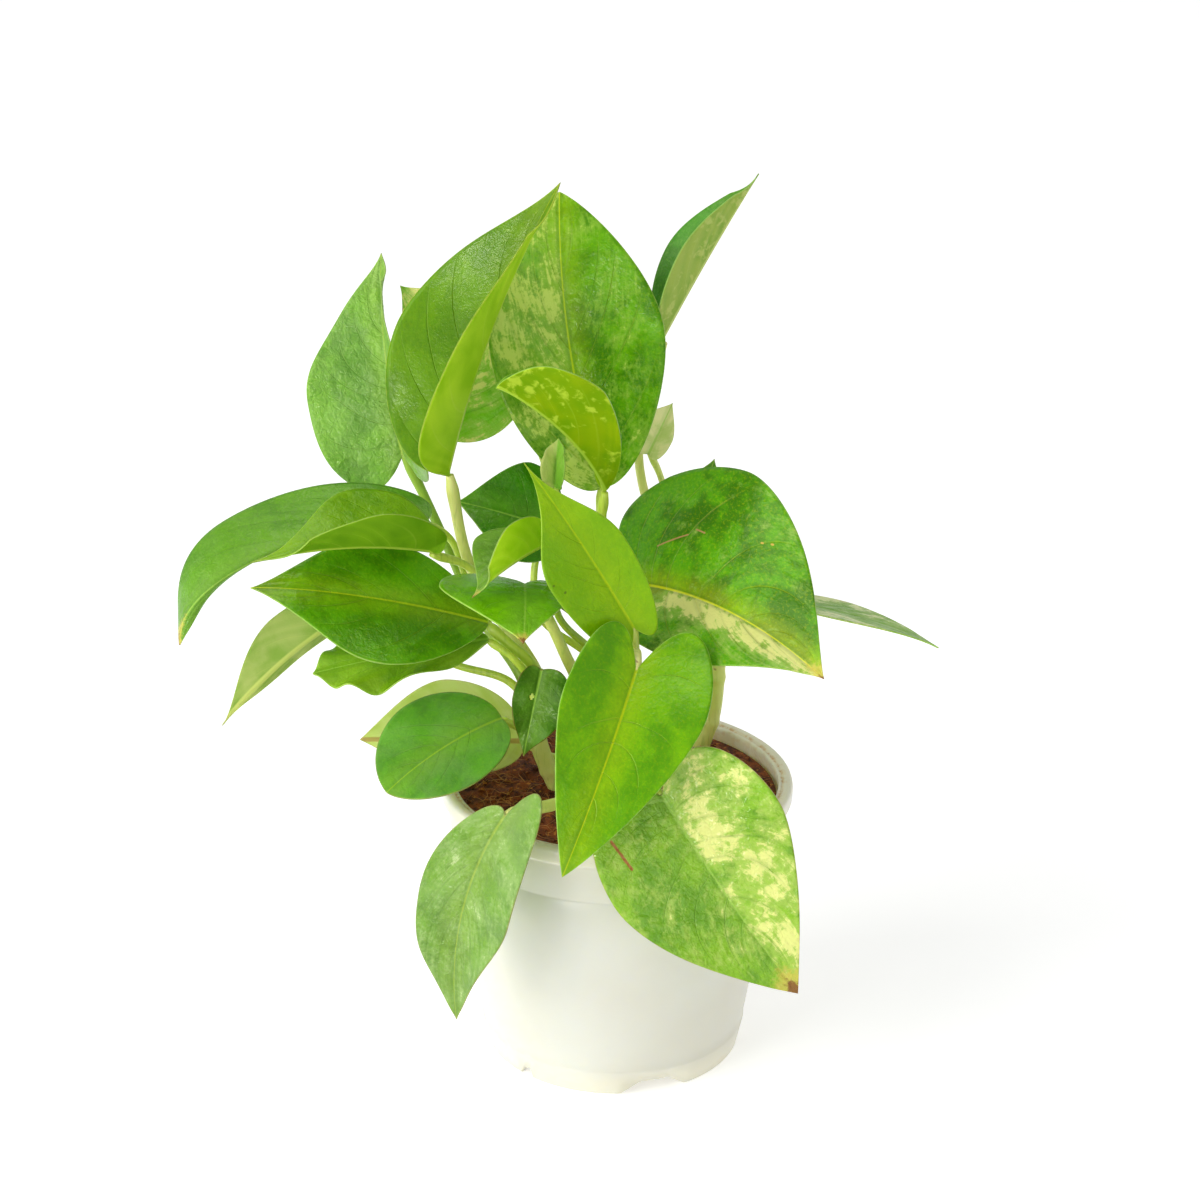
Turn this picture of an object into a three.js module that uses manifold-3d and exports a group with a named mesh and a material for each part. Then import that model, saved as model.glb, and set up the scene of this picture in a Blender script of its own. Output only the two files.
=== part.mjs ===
// A potted pothos: a white plastic nursery pot, coir soil, six leafy stems and their
// heart-shaped leaves. Millimetres, +Z up. The origin is the centre of the pot's foot,
// and -Y is the front, the side with the two hanging leaves.
import * as THREE from "three";
import { mergeVertices } from "three/addons/utils/BufferGeometryUtils.js";
import Module from "manifold-3d";

const wasm = await Module();
wasm.setup();

const { Vector2, Vector3, Matrix3, CatmullRomCurve3 } = THREE;
const degrees = (angle) => (angle * Math.PI) / 180;

// ---- driving dimensions ----
const GAP = 0.3; // air between neighbouring pieces
const POT = {
  height: 89,
  rimRadius: 54,
  lipHeight: 5,
  lipOverhang: 1.4,
  lipInset: 4.6, // from the lip's outside to its inside
  lipUndercut: 0.3, // how much lower the lip's foot starts at the wall
  lipDepth: 6, // where the lip's inside meets the wall, down from the rim
  footRadius: 40,
  skirtWall: 2.2, // the skirt's thickness at the table
  footPad: 6, // radius of the pad under the middle of the raised floor
  wall: 1.7,
  floorHeight: 5,
  floorThickness: 1.6,
  footLine: 8.3, // height of the moulded line above the skirt
  upperLine: 18, // of the one below the rim, down from the rim
  moulding: 0.35, // how far the moulded lines step in or out
  footLineRun: 0.5, // the height over which each does so
  upperLineRun: 0.8,
  draft: 0.6, // how far the foot's inner faces slope over their height
  floorFillet: 1.2, // between the floor and the inside of the wall
  sides: 48,
};
// The lip's section, from the foot of its outside over the groove in its top to its inside:
// how far in from the rim's radius, and how far down from its top.
const LIP_SECTION = [
  [0.5, POT.lipHeight], [0, 4.3], [0, 1], [0.9, 0], [2.7, 0], [3, 0.5], [3.5, 0.3], [4.5, 0.6],
  [POT.lipInset, 2],
];
// The notches in the skirt, three of each: bearing of the first in degrees clockwise from
// the front as seen from above, width at the table and at the top, and height.
const NOTCHES = [
  { bearing: 19, base: 22, top: 9, height: 4.3 },
  { bearing: -41, base: 5.4, top: 3, height: 3 },
];
const NOTCH_TURNS = 3;
const NOTCH_CUTTER = { inside: 8, depth: 14, below: 1 }; // how far it reaches round the skirt
const DRAINS = { count: 6, radius: 4, reach: 24, depth: 4.8, sides: 12 };
const SOIL = { level: 84, mound: 1.1, rings: 4, sides: 30, sideGap: 0.75, shoulder: 4, bevel: 2 };
// Lumps of the soil's surface: height in mm, and turns in radians per mm along X and Y.
const BROAD_LUMPS = { rise: 0.9, alongX: 0.31, startX: 1, alongY: 0.27, startY: -0.6 };
const SMALL_LUMPS = { rise: 0.5, alongX: 0.41, alongY: 0.62 };
const BLADE_THICKNESS = 0.7;
const WIDEST_AT = 0.45; // share of the outline's parameter that lies before the widest point
// How far the outline's curves are pulled past their ends, as shares of length and width.
const PULL = { lobe: 2, rise: 0.5, shoulder: 0.3, onwards: 0.22 };
const HOOK_FROM = 0.6; // share of the midrib's length from which hook adds to bend
const BASE_CROWDING = 1.5; // crowds the rows towards the base along the midrib
const RIPPLE_LAG = 2; // radians from the left margin's ripple to the right one's
const FLAT_MARGIN = 5; // near its two ends a blade narrower than this loses its fold (mm)
const SPINE_STEPS = 60;
const ARC_STEPS = 12;
const STEM_SIDES = 12;
const STEM_STEPS = 8;
const STALK_SIDES = 8;
const STALK_STEPS = { least: 3, perPoint: 2 };
const STALK_GAP = 0.5; // between a stalk's end and the underside of its blade
const SHEATH_SWELL = 0.45; // a leaf stalk is this much thicker where it wraps its stem
const HOLE_GAP = 0.35; // round a stem in its hole in the soil

// ---- colours and finishes ----
const FINISHES = {
  pot_plastic: { color: 0xf1efe6, roughness: 0.35, metalness: 0 },
  coir_soil: { color: 0x5a2f14, roughness: 0.95, metalness: 0 },
  stem_skin: { color: 0x8fb743, roughness: 0.5, metalness: 0 },
  leaf_mature: { color: 0x3f8a1e, roughness: 0.4, metalness: 0 },
  leaf_young: { color: 0x8bc400, roughness: 0.4, metalness: 0 },
  leaf_variegated: { color: 0x6fa52f, roughness: 0.4, metalness: 0 },
  leaf_underside: { color: 0xa8c86e, roughness: 0.5, metalness: 0 },
};

// ---- the leaves ----
// base: where the stalk meets the blade. tip: the drip tip. faces: the way the glossy side
// looks. half: the widths left and right of the midrib, seen from the glossy side, base to
// tip. lobe: how far each half runs back past the base, and widest: where it is widest, both
// as shares of the length. full, point and tail shape the shoulders and the tip. Angles in
// degrees: fold lifts each half at the midrib, unfold changes that towards the tip, curl
// bends it towards the margin, bend and hook droop the midrib, sweep bows it sideways.
// wave: the margin's ripple (mm), waves: how many.
const LEAF_DEFAULTS = {
  lobe: [0.1, 0.1], widest: [0.36, 0.36], full: 1, point: 0.12, tail: 0.1,
  fold: [15, 15], unfold: [0, 0], curl: [0, 0],
  bend: 20, hook: 0, sweep: 0, wave: 0, waves: 3, stations: 10, columns: 3,
};
const LEAVES = {
  leaf_upper_left: {
    base: [-67, 28, 182], tip: [-74, 46, 240], faces: [-0.3, -1, 0.25], half: [26, 22],
    lobe: [0.18, 0.18], widest: [0.31, 0.31], fold: [8, 25], unfold: [0, 50], curl: [10, 20],
    bend: 12, sweep: -10, wave: 1, waves: 4, finish: "leaf_mature",
  },
  leaf_far_left: {
    base: [-58, 5, 169], tip: [-129, -20, 138], faces: [-0.1, -0.7, 0.75], half: [6, 20],
    lobe: [0, 0.06], widest: [0.45, 0.5], point: 0, tail: 0.42, fold: [-125, -5],
    curl: [-10, -10], bend: 24, hook: 75, sweep: 36, wave: 0.6, finish: "leaf_mature",
  },
  leaf_far_left_under: {
    base: [-55, -13, 166], tip: [-105, -35, 170], faces: [0, -0.3, 1], half: [13, 22],
    lobe: [0.06, 0.06], widest: [0.33, 0.33], point: 0.3, tail: 0.04, fold: [75, 18],
    curl: [10, 0], bend: 26, wave: 0.4, finish: "leaf_young",
  },
  leaf_top_left: {
    base: [-51, -2, 186], tip: [-19, 8, 271], faces: [-0.55, -1, 0.2], half: [27, 20],
    lobe: [0.02, 0], widest: [0.38, 0.24], full: 0.9, point: 0.18, tail: 0.16, fold: [12, 96],
    unfold: [0, -22], curl: [10, 12], bend: -8, sweep: -22, wave: 0.8, finish: "leaf_young",
  },
  leaf_top_middle: {
    base: [-6, 18, 176], tip: [-20, 36, 262], faces: [0, -1, 0.15], half: [24, 29],
    lobe: [0.02, 0.02], widest: [0.5, 0.5], full: 0.75, point: 0.05, tail: 0.36, fold: [8, 6],
    curl: [5, 5], bend: 10, sweep: -18, wave: 0.8, waves: 4, finish: "leaf_mature",
  },
  leaf_inner_left: {
    base: [-22, 12, 165], tip: [-49, 6, 175], faces: [0, -1, 0.8], half: [15, 17], stations: 8,
    columns: 2, finish: "leaf_mature",
  },
  leaf_inner_upper: {
    base: [-30, 28, 199], tip: [-68.5, 46, 230], faces: [0.3, -1, 0.1], half: [26, 22],
    lobe: [0.04, 0.04], fold: [0, 0], stations: 8, columns: 2, finish: "leaf_variegated",
  },
  leaf_turned_middle: {
    base: [-5, 4, 180], tip: [-36, -14, 217], faces: [0.25, 1, 0.1], half: [21, 12],
    lobe: [0, 0], widest: [0.64, 0.64], full: 0.3, point: 0.02, tail: 0.6, fold: [-8, 100],
    bend: -10, sweep: -42, wave: 0.4, finish: "leaf_underside",
  },
  leaf_young_small: {
    base: [-20, 8, 179], tip: [-19, 10, 194], faces: [-0.3, -1, 0.1], half: [6, 7],
    lobe: [0.02, 0.02], widest: [0.5, 0.5], fold: [60, 50], stations: 7, columns: 2,
    finish: "leaf_variegated",
  },
  leaf_young_bright: {
    base: [4, -22, 147], tip: [-28, -30, 200], faces: [0.1, -1, 0.45], half: [15.5, 11.5],
    lobe: [0.12, 0.12], widest: [0.4, 0.4], point: 0.3, tail: 0.05, fold: [12, 6],
    curl: [0, 10], bend: -12, sweep: 8, wave: 0.4, finish: "leaf_young",
  },
  leaf_folded_middle: {
    base: [-22, -14, 169], tip: [-42, -36, 161], faces: [-0.5, -0.5, 0.7], half: [13, 15],
    lobe: [0.06, 0.06], widest: [0.4, 0.4], point: 0.25, tail: 0.05, fold: [88, 20],
    unfold: [-10, 0], stations: 8, finish: "leaf_mature",
  },
  leaf_dark_middle: {
    base: [-28, -14, 157], tip: [-27, -48, 152], faces: [0.2, -0.7, 1], half: [12, 25],
    lobe: [0.16, 0.16], widest: [0.3, 0.3], point: 0.14, fold: [4, -2], bend: 30, stations: 9,
    finish: "leaf_mature",
  },
  leaf_right_large: {
    base: [6, 15, 146], tip: [59, -37, 138], faces: [-0.5, -0.65, 0.6], half: [40.5, 22.5],
    lobe: [0.24, 0.1], widest: [0.32, 0.4], tail: 0.12, fold: [5, 22], bend: 25, sweep: -28,
    wave: 1, waves: 2.5, finish: "leaf_variegated",
  },
  leaf_right_inner: {
    base: [18, 48, 142], tip: [29, 56, 173], faces: [0.2, -1, 0.2], half: [14, 14],
    lobe: [0.08, 0.08], stations: 8, columns: 2, finish: "leaf_mature",
  },
  leaf_top_right: {
    base: [11, 28, 219], tip: [39, 42, 267], faces: [-0.95, 0.15, 0.5], half: [15, 14],
    lobe: [0.02, 0.02], widest: [0.45, 0.45], full: 0.7, fold: [55, 35], bend: 4,
    finish: "leaf_variegated",
  },
  leaf_small_right: {
    base: [8, 30, 183], tip: [15, 34, 198], faces: [0, -1, 0.3], half: [9, 5], stations: 7,
    columns: 2, finish: "leaf_variegated",
  },
  leaf_far_right: {
    base: [46, 12, 143], tip: [96, 0, 133], faces: [0.3, 0.18, 0.9], half: [15, 15],
    lobe: [0.06, 0.06], fold: [6, 0], bend: 14, hook: 8, finish: "leaf_variegated",
  },
  leaf_front_middle: {
    base: [5, -33, 138], tip: [-15, -70, 90], faces: [0.15, -1, 0.45], half: [23.5, 19.5],
    lobe: [0.25, 0.2], widest: [0.13, 0.24], tail: 0.25, fold: [10, 12], curl: [5, 5], bend: 25,
    sweep: -2, wave: 0.6, stations: 11, finish: "leaf_mature",
  },
  leaf_front_right: {
    base: [13, -47, 105], tip: [54, -58, 47], faces: [0.05, -1, 0.35], half: [28, 29],
    lobe: [0.12, 0.12], widest: [0.26, 0.27], point: 0.1, tail: 0.2, fold: [10, 10], bend: 12,
    sweep: 6, wave: 0.8, stations: 11, finish: "leaf_variegated",
  },
  leaf_front_left: {
    base: [-32, -54, 101], tip: [-46, -56, 35], faces: [-0.5, -1, 0.3], half: [17.5, 14.5],
    lobe: [0.26, 0.06], widest: [0.4, 0.45], full: 0.7, point: 0.1, tail: 0.2, fold: [12, 14],
    bend: 12, sweep: 36, wave: 1, stations: 11, finish: "leaf_variegated",
  },
  leaf_low_left: {
    base: [-35, -8, 111], tip: [-68, -30, 96], faces: [-0.1, -0.6, 1], half: [17.5, 19],
    lobe: [0.02, 0.02], widest: [0.5, 0.5], point: 0.03, tail: 0.55, fold: [5, 5], bend: 22,
    sweep: 12, finish: "leaf_mature",
  },
  leaf_low_left_under: {
    base: [-30, 6, 97], tip: [-78, -8, 103], faces: [0, 0.8, -0.6], half: [21, 11],
    lobe: [0.04, 0.04], widest: [0.42, 0.42], point: 0.1, tail: 0.2, bend: -8,
    finish: "leaf_underside",
  },
  leaf_left_large: {
    base: [-39, -8, 142], tip: [-107, -24, 158], faces: [0, -0.7, 1], half: [24, 19],
    lobe: [0, 0], widest: [0.46, 0.46], full: 0.6, point: 0.16, tail: 0.2, fold: [6, 10],
    bend: 10, hook: 6, sweep: 8, wave: 0.4, finish: "leaf_mature",
  },
  leaf_left_turned: {
    base: [-76, -4, 145], tip: [-117, -24, 114], faces: [0.3, 0.9, -0.2], half: [12, 4],
    lobe: [0.04, 0.04], widest: [0.42, 0.42], point: 0.16, tail: 0.02, fold: [0, 80], bend: -12,
    sweep: -24, finish: "leaf_underside",
  },
  leaf_left_wavy: {
    base: [-39, -11, 138], tip: [-90, -21, 130], faces: [0, -0.6, 1], half: [11, 12],
    lobe: [0.02, 0.02], widest: [0.62, 0.62], full: 0.7, point: 0.05, tail: 0.3, fold: [0, 10],
    bend: 10, wave: 3, waves: 3.5, stations: 16, columns: 2, finish: "leaf_mature",
  },
  leaf_ragged_small: {
    base: [-23, -13, 129], tip: [-28, -20, 104], faces: [0, -1, 0.3], half: [11, 7],
    lobe: [0.06, 0.06], widest: [0.35, 0.35], wave: 1.2, stations: 12, columns: 2,
    finish: "leaf_mature",
  },
  leaf_inner_right: {
    base: [-2, 2, 149], tip: [-19, -6, 147], faces: [0, -1, 0.7], half: [17, 10],
    lobe: [0.08, 0.08], stations: 8, columns: 2, finish: "leaf_mature",
  },
};

// ---- the stems ----
// Each stem runs up from the soil through route, from foot to top radius. Its leaf stalks
// start on it (from), pass via, and end just under the blade that they carry.
const STEMS = {
  stem_left: {
    route: [[-16, -2, 72], [-18, -2, 84], [-24, -3, 101], [-24, -3, 114]], radii: [3, 2.6],
    stalks: {
      leaf_top_left: {
        from: [-23, -3, 108],
        via: [[-24, -3, 122], [-31, -1, 134], [-39, 1, 144], [-46, 1, 160]], radius: 1.7,
      },
      leaf_left_large: {
        from: [-23, -3, 106], via: [[-22, -4, 119], [-27, -6, 129], [-33, -7, 135]],
        radius: 1.6,
      },
      leaf_upper_left: {
        from: [-24, -3, 108],
        via: [[-30, 3, 121], [-43, 13, 136], [-54, 22, 157], [-61, 28, 170]], radius: 1.5,
      },
      leaf_far_left: {
        from: [-24, -3, 109], via: [[-28, 2, 120], [-38, 6, 133], [-46, 9, 148], [-51, 8, 162]],
        radius: 1.1,
      },
      leaf_far_left_under: {
        from: [-24, -3, 108], via: [[-28, 1, 125], [-36, 2, 143], [-45, -2, 157]], radius: 1.2,
      },
      leaf_left_turned: {
        from: [-24, -2, 108], via: [[-33, -1, 120], [-50, -2, 126], [-69, -5, 138]],
        radius: 1.1,
      },
      leaf_left_wavy: {
        from: [-23, -4, 106], via: [[-25, -7, 120], [-31, -10, 131]], radius: 1.1,
      },
      leaf_ragged_small: { from: [-23, -4, 108], via: [[-21, -7, 119]], radius: 1 },
      leaf_low_left: { from: [-23, -3, 98], via: [[-28, -4, 105]], radius: 1.3 },
    },
  },
  stem_centre: {
    route: [[-8, 8, 72], [-8, 8, 84], [-7, 7, 102], [-8, 4, 116]], radii: [2.6, 2.2],
    stalks: {
      leaf_dark_middle: {
        from: [-8, 5, 110], via: [[-15, -4, 128], [-22, -10, 146]], radius: 1.7,
      },
    },
  },
  stem_middle: {
    route: [[4, 14, 72], [4, 14, 84], [5, 14, 104], [3, 12, 122]], radii: [3, 2.6],
    stalks: {
      leaf_top_middle: { from: [3, 12, 118], via: [[-4, 17, 141], [-6, 19, 164]], radius: 1.6 },
      leaf_turned_middle: {
        from: [3, 12, 117], via: [[-4, 12, 140], [-7, 8, 159]], radius: 1.4,
      },
      leaf_young_small: {
        from: [3, 12, 118], via: [[-6, 11, 142], [-16, 9, 166]], radius: 0.9,
      },
      leaf_young_bright: { from: [3, 11, 115], via: [[4, 0, 124], [5, -14, 132]], radius: 1.5 },
      leaf_inner_right: { from: [3, 12, 119], via: [[-5, 9, 137]], radius: 1 },
      leaf_front_middle: {
        from: [3, 11, 113], via: [[5, 0, 124], [5, -14, 131], [5, -25, 140]], radius: 1.6,
      },
      leaf_right_large: { from: [4, 13, 118], via: [[5, 18, 134]], radius: 1.6 },
      leaf_inner_left: {
        from: [3, 12, 114], via: [[-11, 8, 127], [-24, 7, 138], [-26, 11, 152]], radius: 1.1,
      },
      leaf_inner_upper: {
        from: [3, 13, 118], via: [[-8, 18, 146], [-20, 24, 172], [-26, 29, 187]], radius: 1.3,
      },
      leaf_folded_middle: {
        from: [3, 11, 116], via: [[-9, 5, 129], [-18, -1, 141], [-20, -6, 155]], radius: 1.1,
      },
    },
  },
  stem_right: {
    route: [[25, 30, 72], [26, 30, 84], [29.5, 30, 97], [31, 30, 120]], radii: [3.2, 2.8],
    stalks: {
      leaf_right_inner: {
        from: [31, 30, 114], via: [[30, 41, 124], [24, 48, 132]], radius: 1.1,
      },
      leaf_top_right: {
        from: [31, 30, 116], via: [[21, 36, 134], [10, 38, 158], [5, 37, 180], [8, 33, 204]],
        radius: 1.4,
      },
      leaf_small_right: {
        from: [31, 30, 115], via: [[22, 37, 138], [14, 38, 166], [11, 35, 176]], radius: 1,
      },
      leaf_far_right: { from: [31, 29, 115], via: [[34, 25, 129], [40, 17, 138]], radius: 1.4 },
    },
  },
  stem_front: {
    route: [[-2, -24, 72], [-2, -24, 84], [-2, -25, 94]], radii: [2.6, 2.2],
    stalks: {
      leaf_front_right: {
        from: [-2, -25, 89], via: [[0, -32, 101], [7, -40, 106]], radius: 1.5,
      },
      leaf_front_left: {
        from: [-2, -25, 88], via: [[-8, -35, 98], [-20, -45, 100]], radius: 1.8,
      },
    },
  },
  stem_low_left: {
    route: [[-15, 14, 72], [-15, 13, 84], [-17, 8, 93]], radii: [2.4, 2],
    stalks: {
      leaf_low_left_under: { from: [-16, 10, 89], via: [[-22, 5, 93]], radius: 1.2 },
    },
  },
};

// ---- closed solids ----
// A manifold solid from points ([x, y, z]) and triangles that face outwards.
function solidFrom(points, triangles) {
  const mesh = new wasm.Mesh({
    numProp: 3,
    vertProperties: new Float32Array(points.flat()),
    triVerts: new Uint32Array(triangles.flat()),
  });
  return new wasm.Manifold(mesh);
}

// The points of a geometry, each held once, and its triangles, without the slivers that a
// pole leaves.
function weld(geometry) {
  geometry.deleteAttribute("uv");
  geometry.deleteAttribute("normal");
  const welded = mergeVertices(geometry);
  const place = welded.getAttribute("position");
  const points = [];
  for (let index = 0; index < place.count; index += 1) {
    points.push([place.getX(index), place.getY(index), place.getZ(index)]);
  }
  const corners = Array.from(welded.getIndex().array);
  const triangles = [];
  while (corners.length > 0) {
    const [a, b, c] = corners.splice(0, 3);
    if (a !== b && b !== c && c !== a) {
      triangles.push([a, b, c]);
    }
  }
  return { points, triangles };
}

function solidOf(geometry) {
  const { points, triangles } = weld(geometry);
  return solidFrom(points, triangles);
}

// Moves every point of a geometry to where(x, y, z), a Vector3.
function reshape(geometry, where) {
  const place = geometry.getAttribute("position");
  for (let index = 0; index < place.count; index += 1) {
    const { x, y, z } = where(place.getX(index), place.getY(index), place.getZ(index));
    place.setXYZ(index, x, y, z);
  }
  return geometry;
}

// A body turned about the Z axis. The profile is [radius, z] from the axis at the bottom,
// round the outside, to the axis at the top.
function turned(profile, sides) {
  const outline = profile.map(([radius, z]) => new Vector2(radius, z));
  return new THREE.LatheGeometry(outline, sides).rotateX(Math.PI / 2);
}

// A round body along a curve, radiusAt(share of the length) thick, with flat ends.
function tube(curve, radiusAt, sides, steps) {
  const frames = curve.computeFrenetFrames(steps, false);
  const straight = new THREE.CylinderGeometry(1, 1, 1, sides, steps);
  return solidOf(reshape(straight, (x, y, z) => {
    const step = Math.round((y + 0.5) * steps);
    const radius = radiusAt(step / steps);
    const point = curve.getPointAt(step / steps);
    point.addScaledVector(frames.binormals[step], x * radius);
    return point.addScaledVector(frames.normals[step], z * radius);
  }));
}

// A closed body from an open sheet: a copy of it half the thickness above and one below,
// split into triangles alike, and a rim between their edges.
function thickened(sheet, thickness) {
  const { points, triangles } = weld(sheet);
  const normals = vertexNormals(points, triangles);
  const count = points.length;
  const shifted = (amount) => points.map((point, index) =>
    point.map((value, axis) => value + amount * normals[index].getComponent(axis)));
  const both = [...shifted(thickness / 2), ...shifted(-thickness / 2)];
  const closed = triangles.flatMap(([a, b, c]) => [[a, b, c], [a + count, c + count, b + count]]);
  const edges = triangles.flatMap(([a, b, c]) => [[a, b], [b, c], [c, a]]);
  const known = new Set(edges.map(([a, b]) => `${a} ${b}`));
  for (const [a, b] of edges) {
    if (!known.has(`${b} ${a}`)) {
      closed.push([b, a, a + count], [b, a + count, b + count]);
    }
  }
  return solidFrom(both, closed);
}

function vertexNormals(points, triangles) {
  const corners = points.map((point) => new Vector3(...point));
  const normals = points.map(() => new Vector3());
  for (const [a, b, c] of triangles) {
    const edge = corners[b].clone().sub(corners[a]);
    const normal = edge.cross(corners[c].clone().sub(corners[a]));
    for (const corner of [a, b, c]) {
      normals[corner].add(normal);
    }
  }
  return normals.map((normal) => normal.normalize());
}

// A three.js mesh of a solid, named and with its finish.
function meshOf(name, solid, finishName) {
  const { vertProperties, triVerts } = solid.getMesh();
  const indexed = new THREE.BufferGeometry();
  indexed.setAttribute("position", new THREE.BufferAttribute(vertProperties, 3));
  indexed.setIndex(new THREE.BufferAttribute(triVerts, 1));
  indexed.computeVertexNormals();
  const mesh = new THREE.Mesh(indexed, new THREE.MeshStandardMaterial(FINISHES[finishName]));
  mesh.name = name;
  return mesh;
}

// ---- the pot ----
// Outer radius of the tapered wall at height z, below the lip.
function wallRadius(z) {
  const lipFoot = POT.height - POT.lipHeight;
  const widest = POT.rimRadius - POT.lipOverhang;
  return POT.footRadius + ((widest - POT.footRadius) * z) / lipFoot;
}

// The pot's profile: a foot pad on the axis, the raised floor, the skirt, the outer wall with
// its two moulded lines, the rolled lip with the groove in its top, and the inside.
function potProfile() {
  const { height, rimRadius, footRadius, floorHeight, footPad, footLine, moulding, draft } = POT;
  const lipFoot = height - POT.lipHeight;
  const lipEnd = height - POT.lipDepth;
  const floorTop = floorHeight + POT.floorThickness;
  const upperLine = height - POT.upperLine;
  const skirtInside = footRadius - POT.skirtWall;
  const inside = (z) => wallRadius(z) - POT.wall;
  const foot = [
    [0, 0], [footPad, 0], [footPad + draft, floorHeight], [skirtInside - draft, floorHeight],
    [skirtInside, 0], [footRadius, 0],
  ];
  const outside = [
    [wallRadius(footLine) + moulding, footLine],
    [wallRadius(footLine), footLine + POT.footLineRun],
    [wallRadius(upperLine) - moulding, upperLine],
    [wallRadius(upperLine), upperLine + POT.upperLineRun],
    [wallRadius(lipFoot), lipFoot - POT.lipUndercut],
  ];
  const lip = LIP_SECTION.map(([inwards, down]) => [rimRadius - inwards, height - down]);
  const within = [
    [inside(lipEnd), lipEnd], [inside(floorTop), floorTop + POT.floorFillet],
    [inside(floorTop) - POT.floorFillet, floorTop], [0, floorTop],
  ];
  return [...foot, ...outside, ...lip, ...within];
}

// A notch in the skirt: a block with sloping ends, wide at the table and narrow at the top.
function skirtNotch({ bearing, base, top, height }, turn) {
  const { inside, depth, below } = NOTCH_CUTTER;
  const spread = ((base - top) / 2 / height) * below;
  const outline = new THREE.Shape([
    new Vector2(-base / 2 - spread, -below), new Vector2(base / 2 + spread, -below),
    new Vector2(top / 2, height), new Vector2(-top / 2, height),
  ]);
  const block = new THREE.ExtrudeGeometry(outline, { depth, bevelEnabled: false });
  block.translate(0, 0, POT.footRadius - inside).rotateX(Math.PI / 2);
  block.rotateZ(degrees(bearing) + turn);
  return solidOf(block);
}

// A drain hole through the raised floor.
function drainHole(turn) {
  const { radius, reach, depth, sides } = DRAINS;
  const middle = POT.floorHeight + POT.floorThickness / 2;
  const hole = new THREE.CylinderGeometry(radius, radius, depth, sides);
  hole.rotateX(Math.PI / 2).translate(0, -reach, middle).rotateZ(turn);
  return solidOf(hole);
}

function makePot() {
  let pot = solidOf(turned(potProfile(), POT.sides));
  for (const notch of NOTCHES) {
    for (let step = 0; step < NOTCH_TURNS; step += 1) {
      pot = pot.subtract(skirtNotch(notch, (2 * Math.PI * step) / NOTCH_TURNS));
    }
  }
  for (let step = 0; step < DRAINS.count; step += 1) {
    pot = pot.subtract(drainHole((2 * Math.PI * step) / DRAINS.count));
  }
  return meshOf("pot", pot, "pot_plastic");
}

// ---- the soil ----
// How far the loose surface rises above the level at a point: a low mound with lumps a
// millimetre high, flat at its edge. edge is the share of the way out.
function soilRise(x, y, edge) {
  const { alongX, startX, alongY, startY } = BROAD_LUMPS;
  const broadLumps = Math.sin(alongX * x + startX) * Math.cos(alongY * y + startY);
  const smallLumps = Math.sin(SMALL_LUMPS.alongY * y + SMALL_LUMPS.alongX * x);
  const lumps = BROAD_LUMPS.rise * broadLumps + SMALL_LUMPS.rise * smallLumps;
  return (1 - edge ** 4) * (SOIL.mound + lumps);
}

// The plug of coir that fills the pot from floor to level, with plain holes for the stems.
function makeSoil() {
  const bottom = POT.floorHeight + POT.floorThickness + GAP;
  const reach = POT.rimRadius - POT.lipInset - GAP;
  const beside = (z) => wallRadius(z) - POT.wall - SOIL.sideGap;
  const shoulder = SOIL.level - SOIL.shoulder;
  const profile = [
    [0, bottom], [beside(bottom) - SOIL.bevel, bottom],
    [beside(bottom + SOIL.bevel), bottom + SOIL.bevel], [beside(shoulder), shoulder],
  ];
  for (let ring = 0; ring <= SOIL.rings; ring += 1) {
    profile.push([reach * (1 - ring / SOIL.rings), SOIL.level]);
  }
  const plug = reshape(turned(profile, SOIL.sides), (x, y, z) => {
    const edge = Math.min(1, Math.hypot(x, y) / reach);
    return new Vector3(x, y, z > shoulder ? z + soilRise(x, y, edge) : z);
  });
  let soil = solidOf(plug);
  for (const { route, radii } of Object.values(STEMS)) {
    const [[x, y, z], ...onwards] = route;
    const way = routeCurve([[x, y, z - GAP], ...onwards]);
    soil = soil.subtract(tube(way, () => radii[0] + HOLE_GAP, STEM_SIDES, STEM_STEPS));
  }
  return meshOf("soil", soil, "coir_soil");
}

// ---- leaf blades ----
function bezier(a, b, c, d, t) {
  const s = 1 - t;
  const at = (axis) =>
    s ** 3 * a[axis] + 3 * s * s * t * b[axis] + 3 * s * t * t * c[axis] + t ** 3 * d[axis];
  return [at(0), at(1)];
}

// Half of a heart-shaped outline at u, 0 at the base and 1 at the tip: [share of the
// length, share of the half width]. It runs back round the lobe, then on to the tip.
function halfOutline(leaf, side, u) {
  const lobe = leaf.lobe[side];
  const widest = leaf.widest[side];
  const { full, point, tail } = leaf;
  if (u <= WIDEST_AT) {
    const back = [-PULL.lobe * lobe, PULL.rise * full];
    const shoulder = [widest - PULL.shoulder * full, 1];
    return bezier([0, 0], back, shoulder, [widest, 1], u / WIDEST_AT);
  }
  const onwards = (u - WIDEST_AT) / (1 - WIDEST_AT);
  return bezier([widest, 1], [widest + PULL.onwards, 1], [1 - point, tail], [1, 0], onwards);
}

// The midrib's directions at a share of its length: along it, towards the left half, and
// out of the glossy side.
function midribFrame(leaf, share) {
  const past = Math.max(0, (share - HOOK_FROM) / (1 - HOOK_FROM));
  const droop = degrees(leaf.bend * share + leaf.hook * past * past);
  const sweep = degrees(leaf.sweep * share);
  const turn = new THREE.Matrix4().makeRotationY(droop);
  turn.multiply(new THREE.Matrix4().makeRotationZ(sweep));
  return new Matrix3().setFromMatrix4(turn);
}

const column = (matrix, index) => new Vector3().setFromMatrix3Column(matrix, index);

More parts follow.
